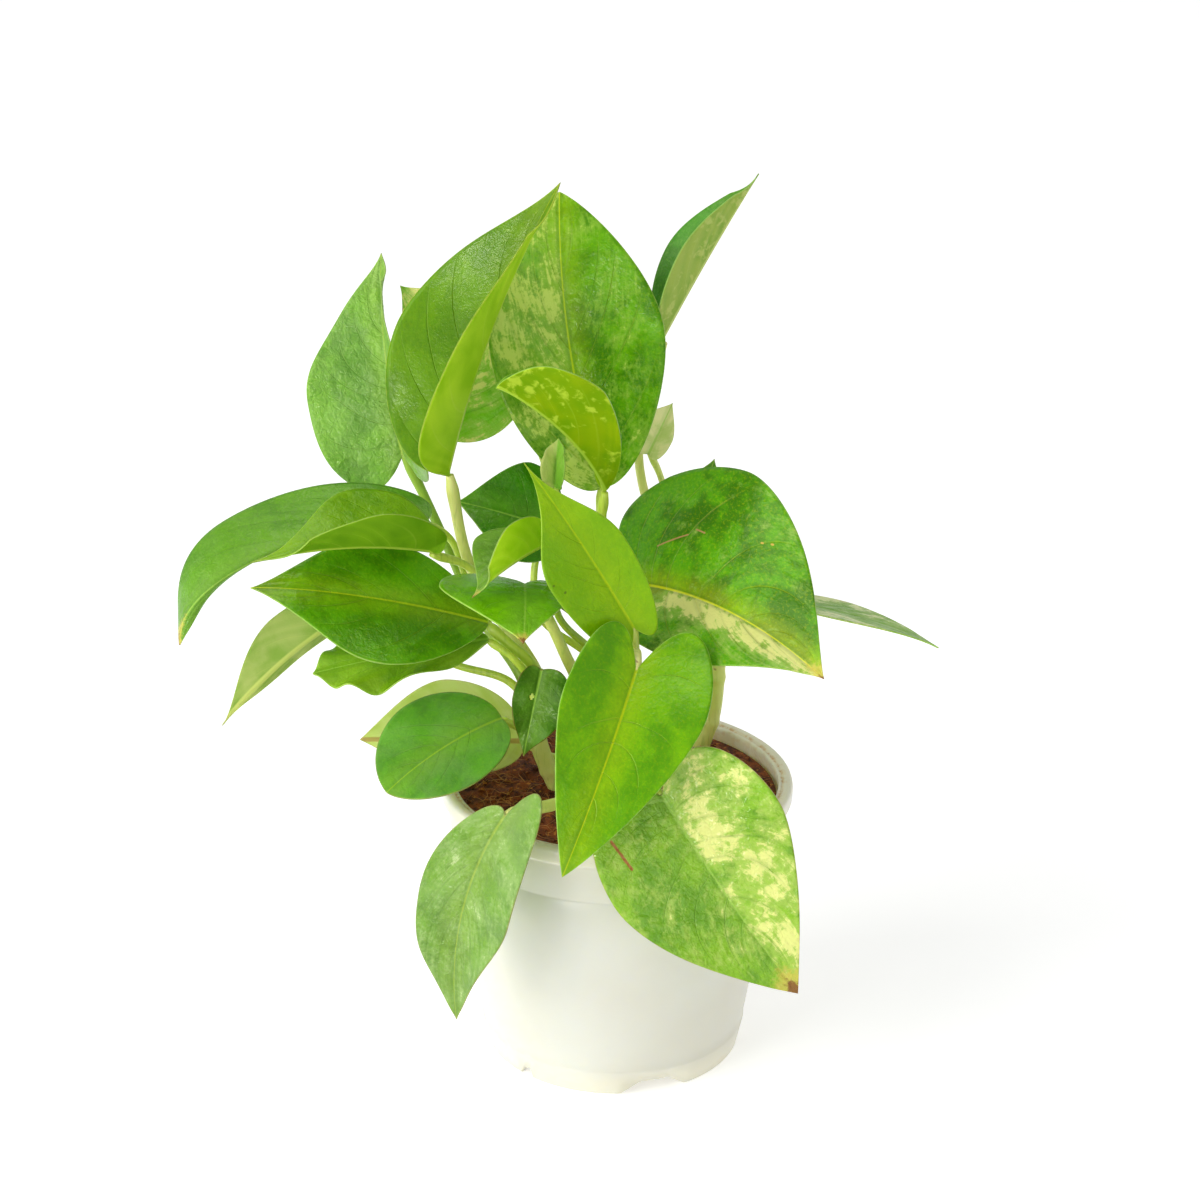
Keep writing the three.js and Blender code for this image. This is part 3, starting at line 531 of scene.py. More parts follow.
@dataclass(frozen=True)
class WaxyBlade:
    """A waxy leaf's upper face: glossy skin over green tissue, marbled along its side veins."""

    name: str
    look: BladeLook
    seed: float

    def build(self) -> bpy.types.Material:
        """Makes the material.

        Returns:
            The material.
        """
        look = self.look
        g = new_graph("leaf_skin_waxy_" + self.name)
        place = BladeMap(g, self.seed)
        colour = self.tissue(g, place)
        colour = self.marbled(g, colour, place)
        colour, height = self.veins(g, colour, place)
        colour = self.marked(g, colour, place)
        colour = self.edges(g, colour, place)
        haze = g.step(place.clouds(9.0, 7.0), 0.35, 0.7)
        rough = g.sum("MULTIPLY_ADD", haze, 0.16, look.gloss)
        # Whitish haze mixed into the colour: partly the skin's own wax, partly a painted sheen.
        if look.haze_and_sheen > 0:
            haze_and_sheen_share = g.sum("MULTIPLY_ADD", haze, 0.5 * look.haze_and_sheen, 0.5 * look.haze_and_sheen)
            colour = g.mix(haze_and_sheen_share, colour, HAZE_AND_SHEEN)
        bump = g.add("Bump", None, Strength=0.6, Distance=0.0006, Height=height)
        g.surface(
            Base_Color=colour, Roughness=rough, Normal=bump, IOR=1.45, Specular_IOR_Level=0.4,
            Specular_Tint=linear(WAX_TINT), Coat_Weight=look.wax, Coat_Roughness=0.16, Coat_Normal=bump,
            Subsurface_Weight=0.12, Subsurface_Radius=SPREAD_IN_BLADE, Subsurface_Scale=1.0,
        )
        return g.material

    def tissue(self, g: Graph, place: BladeMap) -> Any:
        """The clouded green of the tissue: broad patches, streaks along the veins, fine grain.

        Args:
            g: The material's graph.
            place: The blade's maps.

        Returns:
            The colour's socket.
        """
        look = self.look
        broad = place.clouds(20.0, 0.0, 4.0)
        patches = place.clouds(4.5, 12.0, 4.0)
        streaks = place.veined(5.0, 9.0, 11.0)
        both = g.sum("MULTIPLY_ADD", streaks, 0.16, g.sum("MULTIPLY", broad, 0.62))
        both = g.sum("MULTIPLY_ADD", patches, 0.22, both)
        colour = g.mix(g.step(both, 0.43, 0.58, 0.0, 0.8), look.ground, look.deep)
        grain = place.clouds(0.9, 2.0, 3.0, 0.65)
        colour = g.mix(g.step(grain, 0.5, 0.7, 0.0, 0.3), colour, look.deep)
        colour = g.mix(g.step(grain, 0.5, 0.32, 0.0, 0.14), colour, look.vein)
        near_rib = g.step(place.off_rib, 0.5, 9.0, 0.2, 0.0)
        return g.mix(near_rib, colour, look.vein)

    def veins(self, g: Graph, colour: Any, place: BladeMap) -> tuple[Any, Any]:
        """The midrib and side veins with painted shade along their grooves, and the height of the skin
        between them.

        Args:
            g: The material's graph.
            colour: The colour so far.
            place: The blade's maps.

        Returns:
            The sockets of the colour and of the height.
        """
        look = self.look
        taper = g.step(place.u, 0.0, 1.0, 0.75, 0.3)
        rib = g.step(g.sum("DIVIDE", place.off_rib, taper), 0.3, 0.9, 1.0, 0.0)
        # Painted shade: darker green beside the midrib and along each side vein, where their grooves lie.
        beside = g.step(place.off_rib, 0.7, 1.7, 0.3, 0.0)
        vein = g.step(place.line, 0.0, 0.03, 1.0, 0.0)
        fade = g.step(place.margin, 1.0, 9.0, 0.1, 1.0)
        uneven = g.step(place.veined(5.0, 9.0, 17.0, 2.0), 0.35, 0.6, 0.3, 1.0)
        fade = g.sum("MULTIPLY", fade, uneven)
        vein = g.sum("MULTIPLY", vein, fade)
        vein_groove_shade = g.sum("MULTIPLY", g.step(place.line, 0.02, 0.13, 0.28, 0.0), fade)
        colour = g.mix(g.sum("MAXIMUM", beside, vein_groove_shade), colour, look.deep)
        colour = g.mix(g.sum("MULTIPLY", vein, look.vein_show), colour, look.vein)
        colour = g.mix(g.sum("MULTIPLY", rib, look.rib_show), colour, look.vein)
        skin = place.clouds(0.6, 4.0, 2.0, 0.6)
        puckers = place.clouds(2.6, 23.0, 2.5, 0.6)
        height = g.sum("MULTIPLY_ADD", skin, 0.16, g.sum("MULTIPLY", puckers, look.pucker))
        height = g.sum("SUBTRACT", height, g.sum("MULTIPLY", vein, 0.45))
        return colour, height

    def marbled(self, g: Graph, colour: Any, place: BladeMap) -> Any:
        """Cream and yellow-green variegation that runs out along the side veins.

        Args:
            g: The material's graph.
            colour: The colour so far.
            place: The blade's maps.

        Returns:
            The colour's socket.
        """
        look = self.look
        if look.marbling is Marbling.NONE:
            return colour
        across, along, soft = look.marbling.value
        fine = place.veined(across, along, 5.0, 6.0, 0.68)
        specks = place.clouds(1.2 * across, 53.0, 5.0, 0.7)
        broad = place.clouds(11.0, 31.0, 2.0)
        value = g.sum("MULTIPLY_ADD", fine, 0.32, g.sum("MULTIPLY", broad, 0.36))
        value = g.sum("MULTIPLY_ADD", specks, 0.32, value)
        on_left = g.step(place.side, -0.25, 0.25, -1.0, 1.0)
        by_rib = g.step(place.off_rib, 1.0, 14.0, 1.0, -1.0)
        value = g.sum("MULTIPLY_ADD", on_left, 0.05 * look.left, value)
        value = g.sum("MULTIPLY_ADD", by_rib, 0.05 * look.rib, value)
        if look.band:
            value = g.sum("ADD", value, self.banded(g, place))
        edge = 0.62 - 0.24 * look.amount
        halo = g.step(value, edge - 0.05 - soft, edge, 0.0, 0.6)
        core = g.step(value, edge, edge + 0.02 + soft, 0.0, 0.9)
        colour = g.mix(halo, colour, g.mix(0.35, look.ground, look.cream))
        return g.mix(core, colour, look.cream)

    def banded(self, g: Graph, place: BladeMap) -> Any:
        """What the band beside the midrib adds to the marbling.

        Args:
            g: The material's graph.
            place: The blade's maps.

        Returns:
            The socket of what it adds.
        """
        side, width, start, end, strength = self.look.band
        reach = g.sum("MULTIPLY", place.across, side)
        inside = g.step(reach, 0.45 * width, 1.35 * width, 1.0, 0.0)
        inside = g.sum("MULTIPLY", inside, g.step(reach, -0.6, 0.2))
        inside = g.sum("MULTIPLY", inside, g.step(place.u, start - 0.08, start + 0.08))
        return g.sum("MULTIPLY", inside, g.step(place.u, end - 0.05, end + 0.05, strength, 0.0))

    def marked(self, g: Graph, colour: Any, place: BladeMap) -> Any:
        """Scars, specks and spots.

        Args:
            g: The material's graph.
            colour: The colour so far.
            place: The blade's maps.

        Returns:
            The colour's socket.
        """
        ragged = g.sum("MULTIPLY_ADD", place.clouds(1.5, 41.0), 0.8, -0.4)
        for mark in self.look.marks:
            (x, y), (end_x, end_y) = mark.start, mark.end
            run = (end_x - x, end_y - y)
            long = max(run[0] ** 2 + run[1] ** 2, 1e-6)
            dx = g.sum("SUBTRACT", place.along, x)
            dy = g.sum("SUBTRACT", place.across, y)
            share = g.sum("MULTIPLY_ADD", dx, run[0] / long, g.sum("MULTIPLY", dy, run[1] / long))
            share = g.sum("MINIMUM", g.sum("MAXIMUM", share, 0.0), 1.0)
            ax = g.sum("MULTIPLY_ADD", share, -run[0], dx)
            ay = g.sum("MULTIPLY_ADD", share, -run[1], dy)
            far = g.sum("SQRT", g.sum("MULTIPLY_ADD", ax, ax, g.sum("MULTIPLY", ay, ay)))
            far = g.sum("MULTIPLY_ADD", ragged, mark.width, far)
            colour = g.mix(g.step(far, 0.4 * mark.width, mark.width, 0.9, 0.0), colour, mark.colour)
        return colour

    def edges(self, g: Graph, colour: Any, place: BladeMap) -> Any:
        """The thin margin and the withered tip.

        Args:
            g: The material's graph.
            colour: The colour so far.
            place: The blade's maps.

        Returns:
            The colour's socket.
        """
        look = self.look
        colour = g.mix(g.step(place.margin, 0.06, 0.28, 0.45, 0.0), colour, look.margin)
        if look.brown > 0:
            ragged = g.sum("MULTIPLY_ADD", place.clouds(1.3, 9.0), 0.09, -0.045)
            near = g.sum("ADD", place.u, ragged)
            start = 1 - look.brown / USUAL_LENGTH
            colour = g.mix(g.step(near, start - 0.06, start - 0.01, 0.0, 0.8), colour, WITHERING)
            colour = g.mix(g.step(near, start - 0.005, start + 0.02), colour, WITHERED)
        return colour


@dataclass(frozen=True)
class BladeBack:
    """A leaf's underside: paler and duller, with its midrib and side veins standing out.

    band is how much darker it is between the side veins, vein_show how clearly they show, amount
    how much cream marbling shows through.
    """

    name: str
    ground: str = "A9C873"
    deep: str = "86B04E"
    vein: str = "D3DD8E"
    band: float = 0.28
    vein_show: float = 0.32
    amount: float = 0.0
    cream: str = "EDE79A"

    def build(self) -> bpy.types.Material:
        """Makes the material.

        Returns:
            The material.
        """
        g = new_graph("leaf_back_matt_" + self.name)
        place = BladeMap(g, 3.0)
        clouds = place.clouds(14.0, 0.0, 4.0)
        between = g.sum("MULTIPLY", g.step(place.line, 0.12, 0.42), self.band)
        patchy = g.sum("MULTIPLY_ADD", g.step(clouds, 0.38, 0.62), 1 - self.band, between)
        colour = g.mix(patchy, self.ground, self.deep)
        vein = g.step(place.line, 0.0, 0.05, self.vein_show, 0.0)
        vein = g.sum("MULTIPLY", vein, g.step(place.margin, 1.0, 8.0, 0.1, 1.0))
        rib = g.step(place.off_rib, 0.45, 0.95, 0.9, 0.0)
        if self.amount > 0:
            fine = place.clouds(3.2, 5.0, 4.0, 0.6)
            value = g.sum("MULTIPLY_ADD", fine, 0.6, g.sum("MULTIPLY", clouds, 0.4))
            edge = 0.62 - 0.24 * self.amount
            colour = g.mix(g.step(value, edge - 0.05, edge + 0.05, 0.0, 0.85), colour, self.cream)
        colour = g.mix(g.sum("MAXIMUM", vein, rib), colour, self.vein)
        colour = g.mix(g.step(place.margin, 0.08, 0.32, 0.4, 0.0), colour, self.vein)
        height = g.sum("MULTIPLY_ADD", vein, 0.6, g.sum("MULTIPLY", place.clouds(0.7, 1.0), 0.4))
        bump = g.add("Bump", None, Strength=0.4, Distance=0.0003, Height=height)
        g.surface(
            Base_Color=colour, Roughness=0.5, Normal=bump, IOR=1.42, Specular_IOR_Level=0.3,
            Specular_Tint=linear(WAX_TINT), Subsurface_Weight=0.15,
            Subsurface_Radius=SPREAD_IN_BLADE, Subsurface_Scale=1.0,
        )
        return g.material


# ---------------------------------------------------------------- mesh helpers
def finish_piece(
    name: str,
    mesh: bmesh.types.BMesh,
    materials: list[bpy.types.Material],
    slot: str,
    nodes: tuple[str, ...] = (),
) -> bpy.types.Object:
    """slot: Name of a material slot; not used.

    Args:
        name: The piece's name.
        mesh: The bmesh, which is freed.
        materials: Its materials, in the order of its faces' numbers.
        slot: The record's material slot.
        nodes: The CAD nodes that it stands for.

    Returns:
        The piece.
    """
    data = bpy.data.meshes.new(name)
    mesh.to_mesh(data)
    mesh.free()
    for material in materials:
        data.materials.append(material)
    data.shade_smooth()
    piece = bpy.data.objects.new(name, data)
    bpy.context.scene.collection.objects.link(piece)
    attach(piece, BODY)
    if nodes:
        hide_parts(*nodes)
    LOG.info("%s: %d faces", name, len(data.polygons))
    return piece


def place_grid(
    mesh: bmesh.types.BMesh, rows: int, columns: int, where: np.ndarray
) -> list[bmesh.types.BMVert]:
    """Adds a grid and moves its points.

    Args:
        mesh: The bmesh that gets the grid.
        rows: Faces along the first direction.
        columns: Faces along the second.
        where: Points in mm, shaped (rows + 1, columns + 1, 3).

    Returns:
        The grid's vertices.
    """
    made = bmesh.ops.create_grid(mesh, x_segments=rows, y_segments=columns, size=0.5, calc_uvs=True)
    for vert in made["verts"]:
        row = round((vert.co.x + 0.5) * rows)
        column = round((vert.co.y + 0.5) * columns)
        vert.co = Vector(where[row, column]) * MM
    return made["verts"]


def turn_outline(outline: list[Pair], steps: int) -> bmesh.types.BMesh:
    """Turns an outline about the upright axis.

    Args:
        outline: Radii and heights in mm, in order.
        steps: Faces round it.

    Returns:
        The bmesh, in metres, with its doubles merged.
    """
    mesh = bmesh.new()
    verts = [mesh.verts.new((radius * MM, 0, z * MM)) for radius, z in outline]
    edges = [mesh.edges.new(pair) for pair in zip(verts, verts[1:])]
    bmesh.ops.spin(
        mesh, geom=verts + edges, cent=(0, 0, 0), axis=(0, 0, 1), dvec=(0, 0, 0),
        angle=2 * math.pi, steps=steps, use_merge=True, use_duplicate=False,
    )
    bmesh.ops.remove_doubles(mesh, verts=mesh.verts, dist=WELD)
    return mesh


def catmull_rom(points: list[Point], count: int) -> np.ndarray:
    """Evenly spaced points on the centripetal curve through points.

    Args:
        points: What the curve passes through, in mm.
        count: How many spans the result has.

    Returns:
        Points in mm, shaped (count + 1, 3).
    """
    knots = [np.array(p, float) for p in points]
    ends = [2 * knots[0] - knots[1]] + knots + [2 * knots[-1] - knots[-2]]
    dense: list[np.ndarray] = []
    for i in range(len(knots) - 1):
        p0, p1, p2, p3 = ends[i : i + 4]
        d = [max(np.linalg.norm(b - a) ** 0.5, 1e-4) for a, b in ((p0, p1), (p1, p2), (p2, p3))]
        t1 = ((p1 - p0) / d[0] - (p2 - p0) / (d[0] + d[1]) + (p2 - p1) / d[1]) * d[1]
        t2 = ((p2 - p1) / d[1] - (p3 - p1) / (d[1] + d[2]) + (p3 - p2) / d[2]) * d[1]
        for s in np.linspace(0, 1, 40, endpoint=False):
            a, b = 2 * p1 - 2 * p2 + t1 + t2, -3 * p1 + 3 * p2 - 2 * t1 - t2
            dense.append(a * s**3 + b * s**2 + t1 * s + p1)
    dense.append(knots[-1])
    line = np.array(dense)
    length = np.concatenate([[0], np.cumsum(np.linalg.norm(np.diff(line, axis=0), axis=1))])
    even = np.linspace(0, length[-1], count + 1)
    return np.stack([np.interp(even, length, line[:, k]) for k in range(3)], 1)


def sweep_tube(
    mesh: bmesh.types.BMesh,
    path: np.ndarray,
    radius_at: Callable[[float, float], float],
    sides: int,
    tone: float,
) -> None:
    """Adds a round body along a path, closed at both ends.

    Args:
        mesh: The bmesh that gets it.
        path: Points in mm.
        radius_at: Radius in mm at (share of the length, angle round it).
        sides: Faces round it.
        tone: Value of the tone attribute on it.
    """
    tangents = np.gradient(path, axis=0)
    tangents /= np.linalg.norm(tangents, axis=1)[:, None]
    side = np.cross(tangents[0], SIDE_HINT)
    where = np.zeros((len(path), sides + 1, 3))
    for i, (point, tangent) in enumerate(zip(path, tangents)):
        side = side - tangent * side.dot(tangent)
        side /= np.linalg.norm(side)
        other = np.cross(tangent, side)
        for j in range(sides + 1):
            angle = 2 * math.pi * j / sides
            radius = radius_at(i / (len(path) - 1), angle)
            where[i, j] = point + radius * (math.cos(angle) * side + math.sin(angle) * other)
    layer = mesh.verts.layers.float.get(TONE) or mesh.verts.layers.float.new(TONE)
    verts = place_grid(mesh, len(path) - 1, sides, where)
    bmesh.ops.remove_doubles(mesh, verts=verts, dist=FINE_WELD)
    verts = [v for v in verts if v.is_valid]
    rim = list({e for v in verts for e in v.link_edges if e.is_boundary})
    bmesh.ops.holes_fill(mesh, edges=rim, sides=sides)
    for vert in verts:
        vert[layer] = tone
    bmesh.ops.recalc_face_normals(mesh, faces=list({f for v in verts for f in v.link_faces}))


# ---------------------------------------------------------------- pot
@dataclass
class Pot:
    """The nursery pot, turned from its profile, with notches in its skirt and drain holes.

    Sizes are in mm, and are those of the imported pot. A notch is the bearing of its middle, its
    width at the foot and at the top, and its height. Notches repeat every third of a turn.
    """

    height: float = 89.0
    rim_radius: float = 54.0
    lip_height: float = 5.0
    lip_overhang: float = 1.4
    foot_radius: float = 40.0
    wall: float = 1.7
    floor_height: float = 5.0
    floor_thickness: float = 1.6
    foot_line: float = 8.3
    groove_below_top: float = 18.0
    skirt_radius: float = 37.0
    skirt_height: float = 4.7
    notches: tuple = ((19.0, 22.0, 9.0, 4.3), (-41.0, 5.4, 3.0, 3.0))
    drains: int = 6
    drain_circle: float = 24.0
    drain_radius: float = 4.0
    drain_cut: float = 6.0
    steps: int = 240

    def wall_radius(self, z: float) -> float:
        """The outer radius of the tapered wall.

        Args:
            z: The height, in mm.

        Returns:
            The radius, in mm.
        """
        lip_foot = self.height - self.lip_height
        widest = self.rim_radius - self.lip_overhang
        return self.foot_radius + (widest - self.foot_radius) * z / lip_foot

    def profile(self) -> list[Pair]:
        """The turned outline.

        Returns:
            Radii and heights in mm, from the foot pad round to the inside floor.
        """
        top, rim = self.height, self.rim_radius
        lip = top - self.lip_height
        line = top - self.groove_below_top
        floor_top = self.floor_height + self.floor_thickness
        radius = self.wall_radius
        outer = [
            (0, 0), (5.6, 0), (6.0, 0.3), (6.5, 4.6), (7.0, self.floor_height),
            (36.6, self.floor_height), (37.2, 4.6), (37.6, 0.4), (38.0, 0), (39.4, 0), (40.0, 0.5),
            (radius(self.foot_line) + 0.25, self.foot_line - 0.3),
            (radius(self.foot_line) + 0.2, self.foot_line), (radius(8.8) - 0.05, self.foot_line + 0.5),
        ]
        wall = [(radius(z), z) for z in (12, 24, 36, 48, 60)]
        upper = [
            (radius(line) - 0.05, line - 0.3), (radius(line) - 0.25, line),
            (radius(line) + 0.05, line + 0.6),
            (radius(lip - 1.2), lip - 1.2), (radius(lip - 0.4), lip - 0.4), (radius(lip) + 0.5, lip),
            (rim - 0.6, lip + 0.05), (rim - 0.15, lip + 0.35), (rim, lip + 0.9), (rim, top - 1.3),
            (rim - 0.25, top - 0.5), (rim - 0.8, top - 0.08), (rim - 1.2, top), (rim - 2.5, top),
            (rim - 2.85, top - 0.15), (rim - 3.1, top - 0.5), (rim - 3.4, top - 0.55),
            (rim - 3.7, top - 0.35), (rim - 4.2, top - 0.4), (rim - 4.5, top - 0.8),
            (rim - 4.6, top - 2.0), (radius(81) - self.wall, top - 6.0),
        ]
        inner = [(radius(z) - self.wall, z) for z in (60, 40, 20)]
        inner += [(radius(floor_top) - self.wall, floor_top + 1.0), (radius(floor_top) - 3.0, floor_top)]
        return outer + wall + upper + inner + [(0, floor_top)]

    def notch_height(self, bearing: float) -> float:
        """How far up the skirt's edge is cut.

        Args:
            bearing: Degrees from the front, counted towards the right.

        Returns:
            The height of the cut, in mm.
        """
        highest = 0.0
        for centre, base, top, height in self.notches:
            off = abs((bearing - centre + 60) % 120 - 60)
            reach = self.foot_radius * math.sin(math.radians(min(off, 90)))
            cut = (base / 2 - reach) / ((base - top) / 2) * height
            highest = max(highest, min(cut, height))
        return highest

    def build(self, finish: MouldedPolypropylene) -> bpy.types.Object:
        """Makes the pot and dresses it.

        Args:
            finish: Its plastic.

        Returns:
            The piece.
        """
        mesh = turn_outline(self.profile(), self.steps)
        for vert in mesh.verts:
            radius = math.hypot(vert.co.x, vert.co.y) / MM
            if vert.co.z < self.skirt_height * MM and radius > self.skirt_radius:
                bearing = math.degrees(math.atan2(vert.co.x, -vert.co.y))
                vert.co.z = max(vert.co.z, self.notch_height(bearing) * MM)
        bmesh.ops.recalc_face_normals(mesh, faces=mesh.faces)
        piece = finish_piece("pot_shell", mesh, [finish.build()], "pot_plastic", ("pot",))
        self.drill(piece)
        return piece

    def drill(self, piece: bpy.types.Object) -> None:
        """Cuts the drain holes through the raised floor.

        Args:
            piece: The pot.
        """
        mesh = bmesh.new()
        for number in range(self.drains):
            turn = 2 * math.pi * number / self.drains
            across, out = math.sin(turn), -math.cos(turn)
            centre = (across * self.drain_circle, out * self.drain_circle, self.drain_cut)
            bmesh.ops.create_cone(
                mesh, cap_ends=True, segments=32, radius1=self.drain_radius * MM,
                radius2=self.drain_radius * MM, depth=self.drain_cut * MM,
                matrix=Matrix.Translation(Vector(centre) * MM),
            )
        data = bpy.data.meshes.new("drill")
        mesh.to_mesh(data)
        mesh.free()
        cutter = bpy.data.objects.new("drill", data)
        bpy.context.scene.collection.objects.link(cutter)
        cut = piece.modifiers.new("drain", "BOOLEAN")
        cut.operation = "DIFFERENCE"
        cut.object = cutter
        cut.solver = "EXACT"
        evaluated = piece.evaluated_get(bpy.context.evaluated_depsgraph_get())
        drilled = bpy.data.meshes.new_from_object(evaluated)
        piece.modifiers.clear()
        piece.data = drilled
        drilled.shade_smooth()
        drilled.name = "pot_shell"
        bpy.data.objects.remove(cutter)


# ---------------------------------------------------------------- soil
@dataclass
class Soil:
    """The coir plug with its lumpy top, loose crumbs and fibres.

    Sizes are in mm, pairs are the least and the greatest, and a fibre's curve is in radians to
    a mm.
    """

    pot: Pot
    level: float = 84.0
    mound: float = 1.1
    rings: int = 60
    sides: int = 180
    crumbs: int = 700
    crumb_size: Pair = (0.3, 1.1)
    chip_share: float = 0.12
    chip_size: float = 1.5
    dents: float = 0.18
    fibres: int = 420
    fibre_length: Pair = (4.0, 15.0)
    fibre_radius: Pair = (0.07, 0.16)
    fibre_curve: float = 0.16
    fibre_rises: tuple = (0.1, 0.3, 0.6, 1.6)
    fibre_spans: int = 7
    seed: int = 11

    @property
    def reach(self) -> float:
        """Radius of the plug's top."""
        return self.pot.rim_radius - 4.9

    def height(self, x: float, y: float) -> float:
        """The height of the surface, lumps and grit included.

        Args:
            x: How far right of the middle, in mm.
            y: How far behind it.

        Returns:
            The height, in mm.
        """
        edge = min(1.0, math.hypot(x, y) / self.reach)
        lumps = 0.9 * math.sin(0.31 * x + 1) * math.cos(0.27 * y - 0.6)
        lumps += 0.5 * math.sin(0.62 * y + 0.41 * x)
        grit = 1.1 * noise.fractal(Vector((x, y, 0)) * 0.22, 1.0, 2.0, 5)
        return self.level + (1 - edge**4) * (self.mound + lumps) + grit * (1 - edge**8)

    def build(self, earth: DampCoir, husk: DryFibre) -> list[bpy.types.Object]:
        """Makes the plug, the crumbs and the fibres.

        Args:
            earth: Finish of the plug and the crumbs.
            husk: Finish of the fibres.

        Returns:
            The three pieces.
        """
        material = earth.build()
        plug = finish_piece("soil_plug", self.plug(), [material], "coir_soil", ("soil",))
        draws = random.Random(self.seed)
        crumbs = finish_piece("soil_crumbs", self.loose_crumbs(draws), [material], "coir_soil")
        fibres = finish_piece("soil_fibres", self.loose_fibres(draws), [husk.build()], "coir_soil")
        return [plug, crumbs, fibres]

    def plug(self) -> bmesh.types.BMesh:
        """The body that fills the pot.

        Returns:
            Its bmesh.
        """
        floor = self.pot.floor_height + self.pot.floor_thickness + 0.3
        side = [(0, floor), (self.pot.wall_radius(floor) - 4.2, floor)]
        side += [(self.pot.wall_radius(floor + 2) - 2.2, floor + 2), (self.pot.wall_radius(79) - 2.4, 79)]
        side += [(self.reach, self.level - 0.4)]
        top = [(self.reach * (1 - ring / self.rings), self.level) for ring in range(self.rings + 1)]
        mesh = turn_outline(side + top, self.sides)
        for vert in mesh.verts:
            if vert.co.z > (self.level - 0.2) * MM:
                vert.co.z = self.height(vert.co.x / MM, vert.co.y / MM) * MM
        bmesh.ops.recalc_face_normals(mesh, faces=mesh.faces)
        return mesh

    def spot(self, draws: random.Random) -> tuple[float, float]:
        """A random place on the surface.

        Args:
            draws: The source of the random numbers.

        Returns:
            How far right of the middle it is, and how far behind it.
        """
        radius = self.reach * 0.96 * math.sqrt(draws.random())
        angle = draws.random() * 2 * math.pi
        return radius * math.cos(angle), radius * math.sin(angle)

    def loose_crumbs(self, draws: random.Random) -> bmesh.types.BMesh:
        """Crumbs of peat and husk chips that lie on the surface.

        Args:
            draws: The source of the random numbers.

        Returns:
            Their bmesh.
        """
        mesh = bmesh.new()
        for _ in range(self.crumbs):
            x, y = self.spot(draws)
            size = draws.uniform(*self.crumb_size)
            size *= self.chip_size if draws.random() < self.chip_share else 1
            stretch = Matrix.Diagonal((1, draws.uniform(0.4, 1), draws.uniform(0.4, 0.9), 1))
            turn = Euler([draws.uniform(0, 6.28) for _ in range(3)]).to_matrix().to_4x4()
            where = Matrix.Translation(Vector((x, y, self.height(x, y) + size * 0.2)) * MM)
            placed = where @ turn @ stretch
            made = bmesh.ops.create_icosphere(mesh, subdivisions=1, radius=size * MM, matrix=placed)
            for vert in made["verts"]:
                dent = [draws.uniform(-self.dents, self.dents) for _ in range(3)]
                vert.co += Vector(dent) * size * MM
        return mesh

    def loose_fibres(self, draws: random.Random) -> bmesh.types.BMesh:
        """Curved coconut fibres, most of them flat on the surface.

        Args:
            draws: The source of the random numbers.

        Returns:
            Their bmesh.
        """
        mesh = bmesh.new()
        for _ in range(self.fibres):
            x, y = self.spot(draws)
            heading = draws.uniform(0, 2 * math.pi)
            span = draws.uniform(*self.fibre_length) / self.fibre_spans
            curve = draws.uniform(-self.fibre_curve, self.fibre_curve)
            rise = draws.choice(self.fibre_rises)
            points = []
            for step in range(self.fibre_spans + 1):
                if math.hypot(x, y) > self.reach - 0.5:
                    break
                hump = math.sin(math.pi * step / self.fibre_spans) * rise
                points.append((x, y, self.height(x, y) + 0.1 + hump))
                x += math.cos(heading) * span
                y += math.sin(heading) * span
                heading += curve * span
            if len(points) > 3:
                thick = draws.uniform(*self.fibre_radius)
                sweep_tube(mesh, np.array(points), lambda s, a, r=thick: r * (1 - 0.6 * s), 4, 0.0)
        return mesh


# ---------------------------------------------------------------- leaves
WIDEST_AT = 0.45  # share of the length up to which the outline's first curve runs
FLAT_MARGIN = 5.0  # mm of half width below which a fold flattens out
SPINE_STEPS = 60
ARC_STEPS = 12
EDGE_POINTS = 400  # points of the margin from which distances are taken


def bezier(a: Pair, b: Pair, c: Pair, d: Pair, t: np.ndarray) -> np.ndarray:
    """Points of a cubic curve.

    Args:
        a: Its start.
        b: The first handle.
        c: The second handle.
        d: Its end.
        t: Where, from 0 to 1.

    Returns:
        The points.
    """
    t = t[..., None]
    pa, pb, pc, pd = (np.array(p, float) for p in (a, b, c, d))
    return (1 - t) ** 3 * pa + 3 * (1 - t) ** 2 * t * pb + 3 * (1 - t) * t * t * pc + t**3 * pd


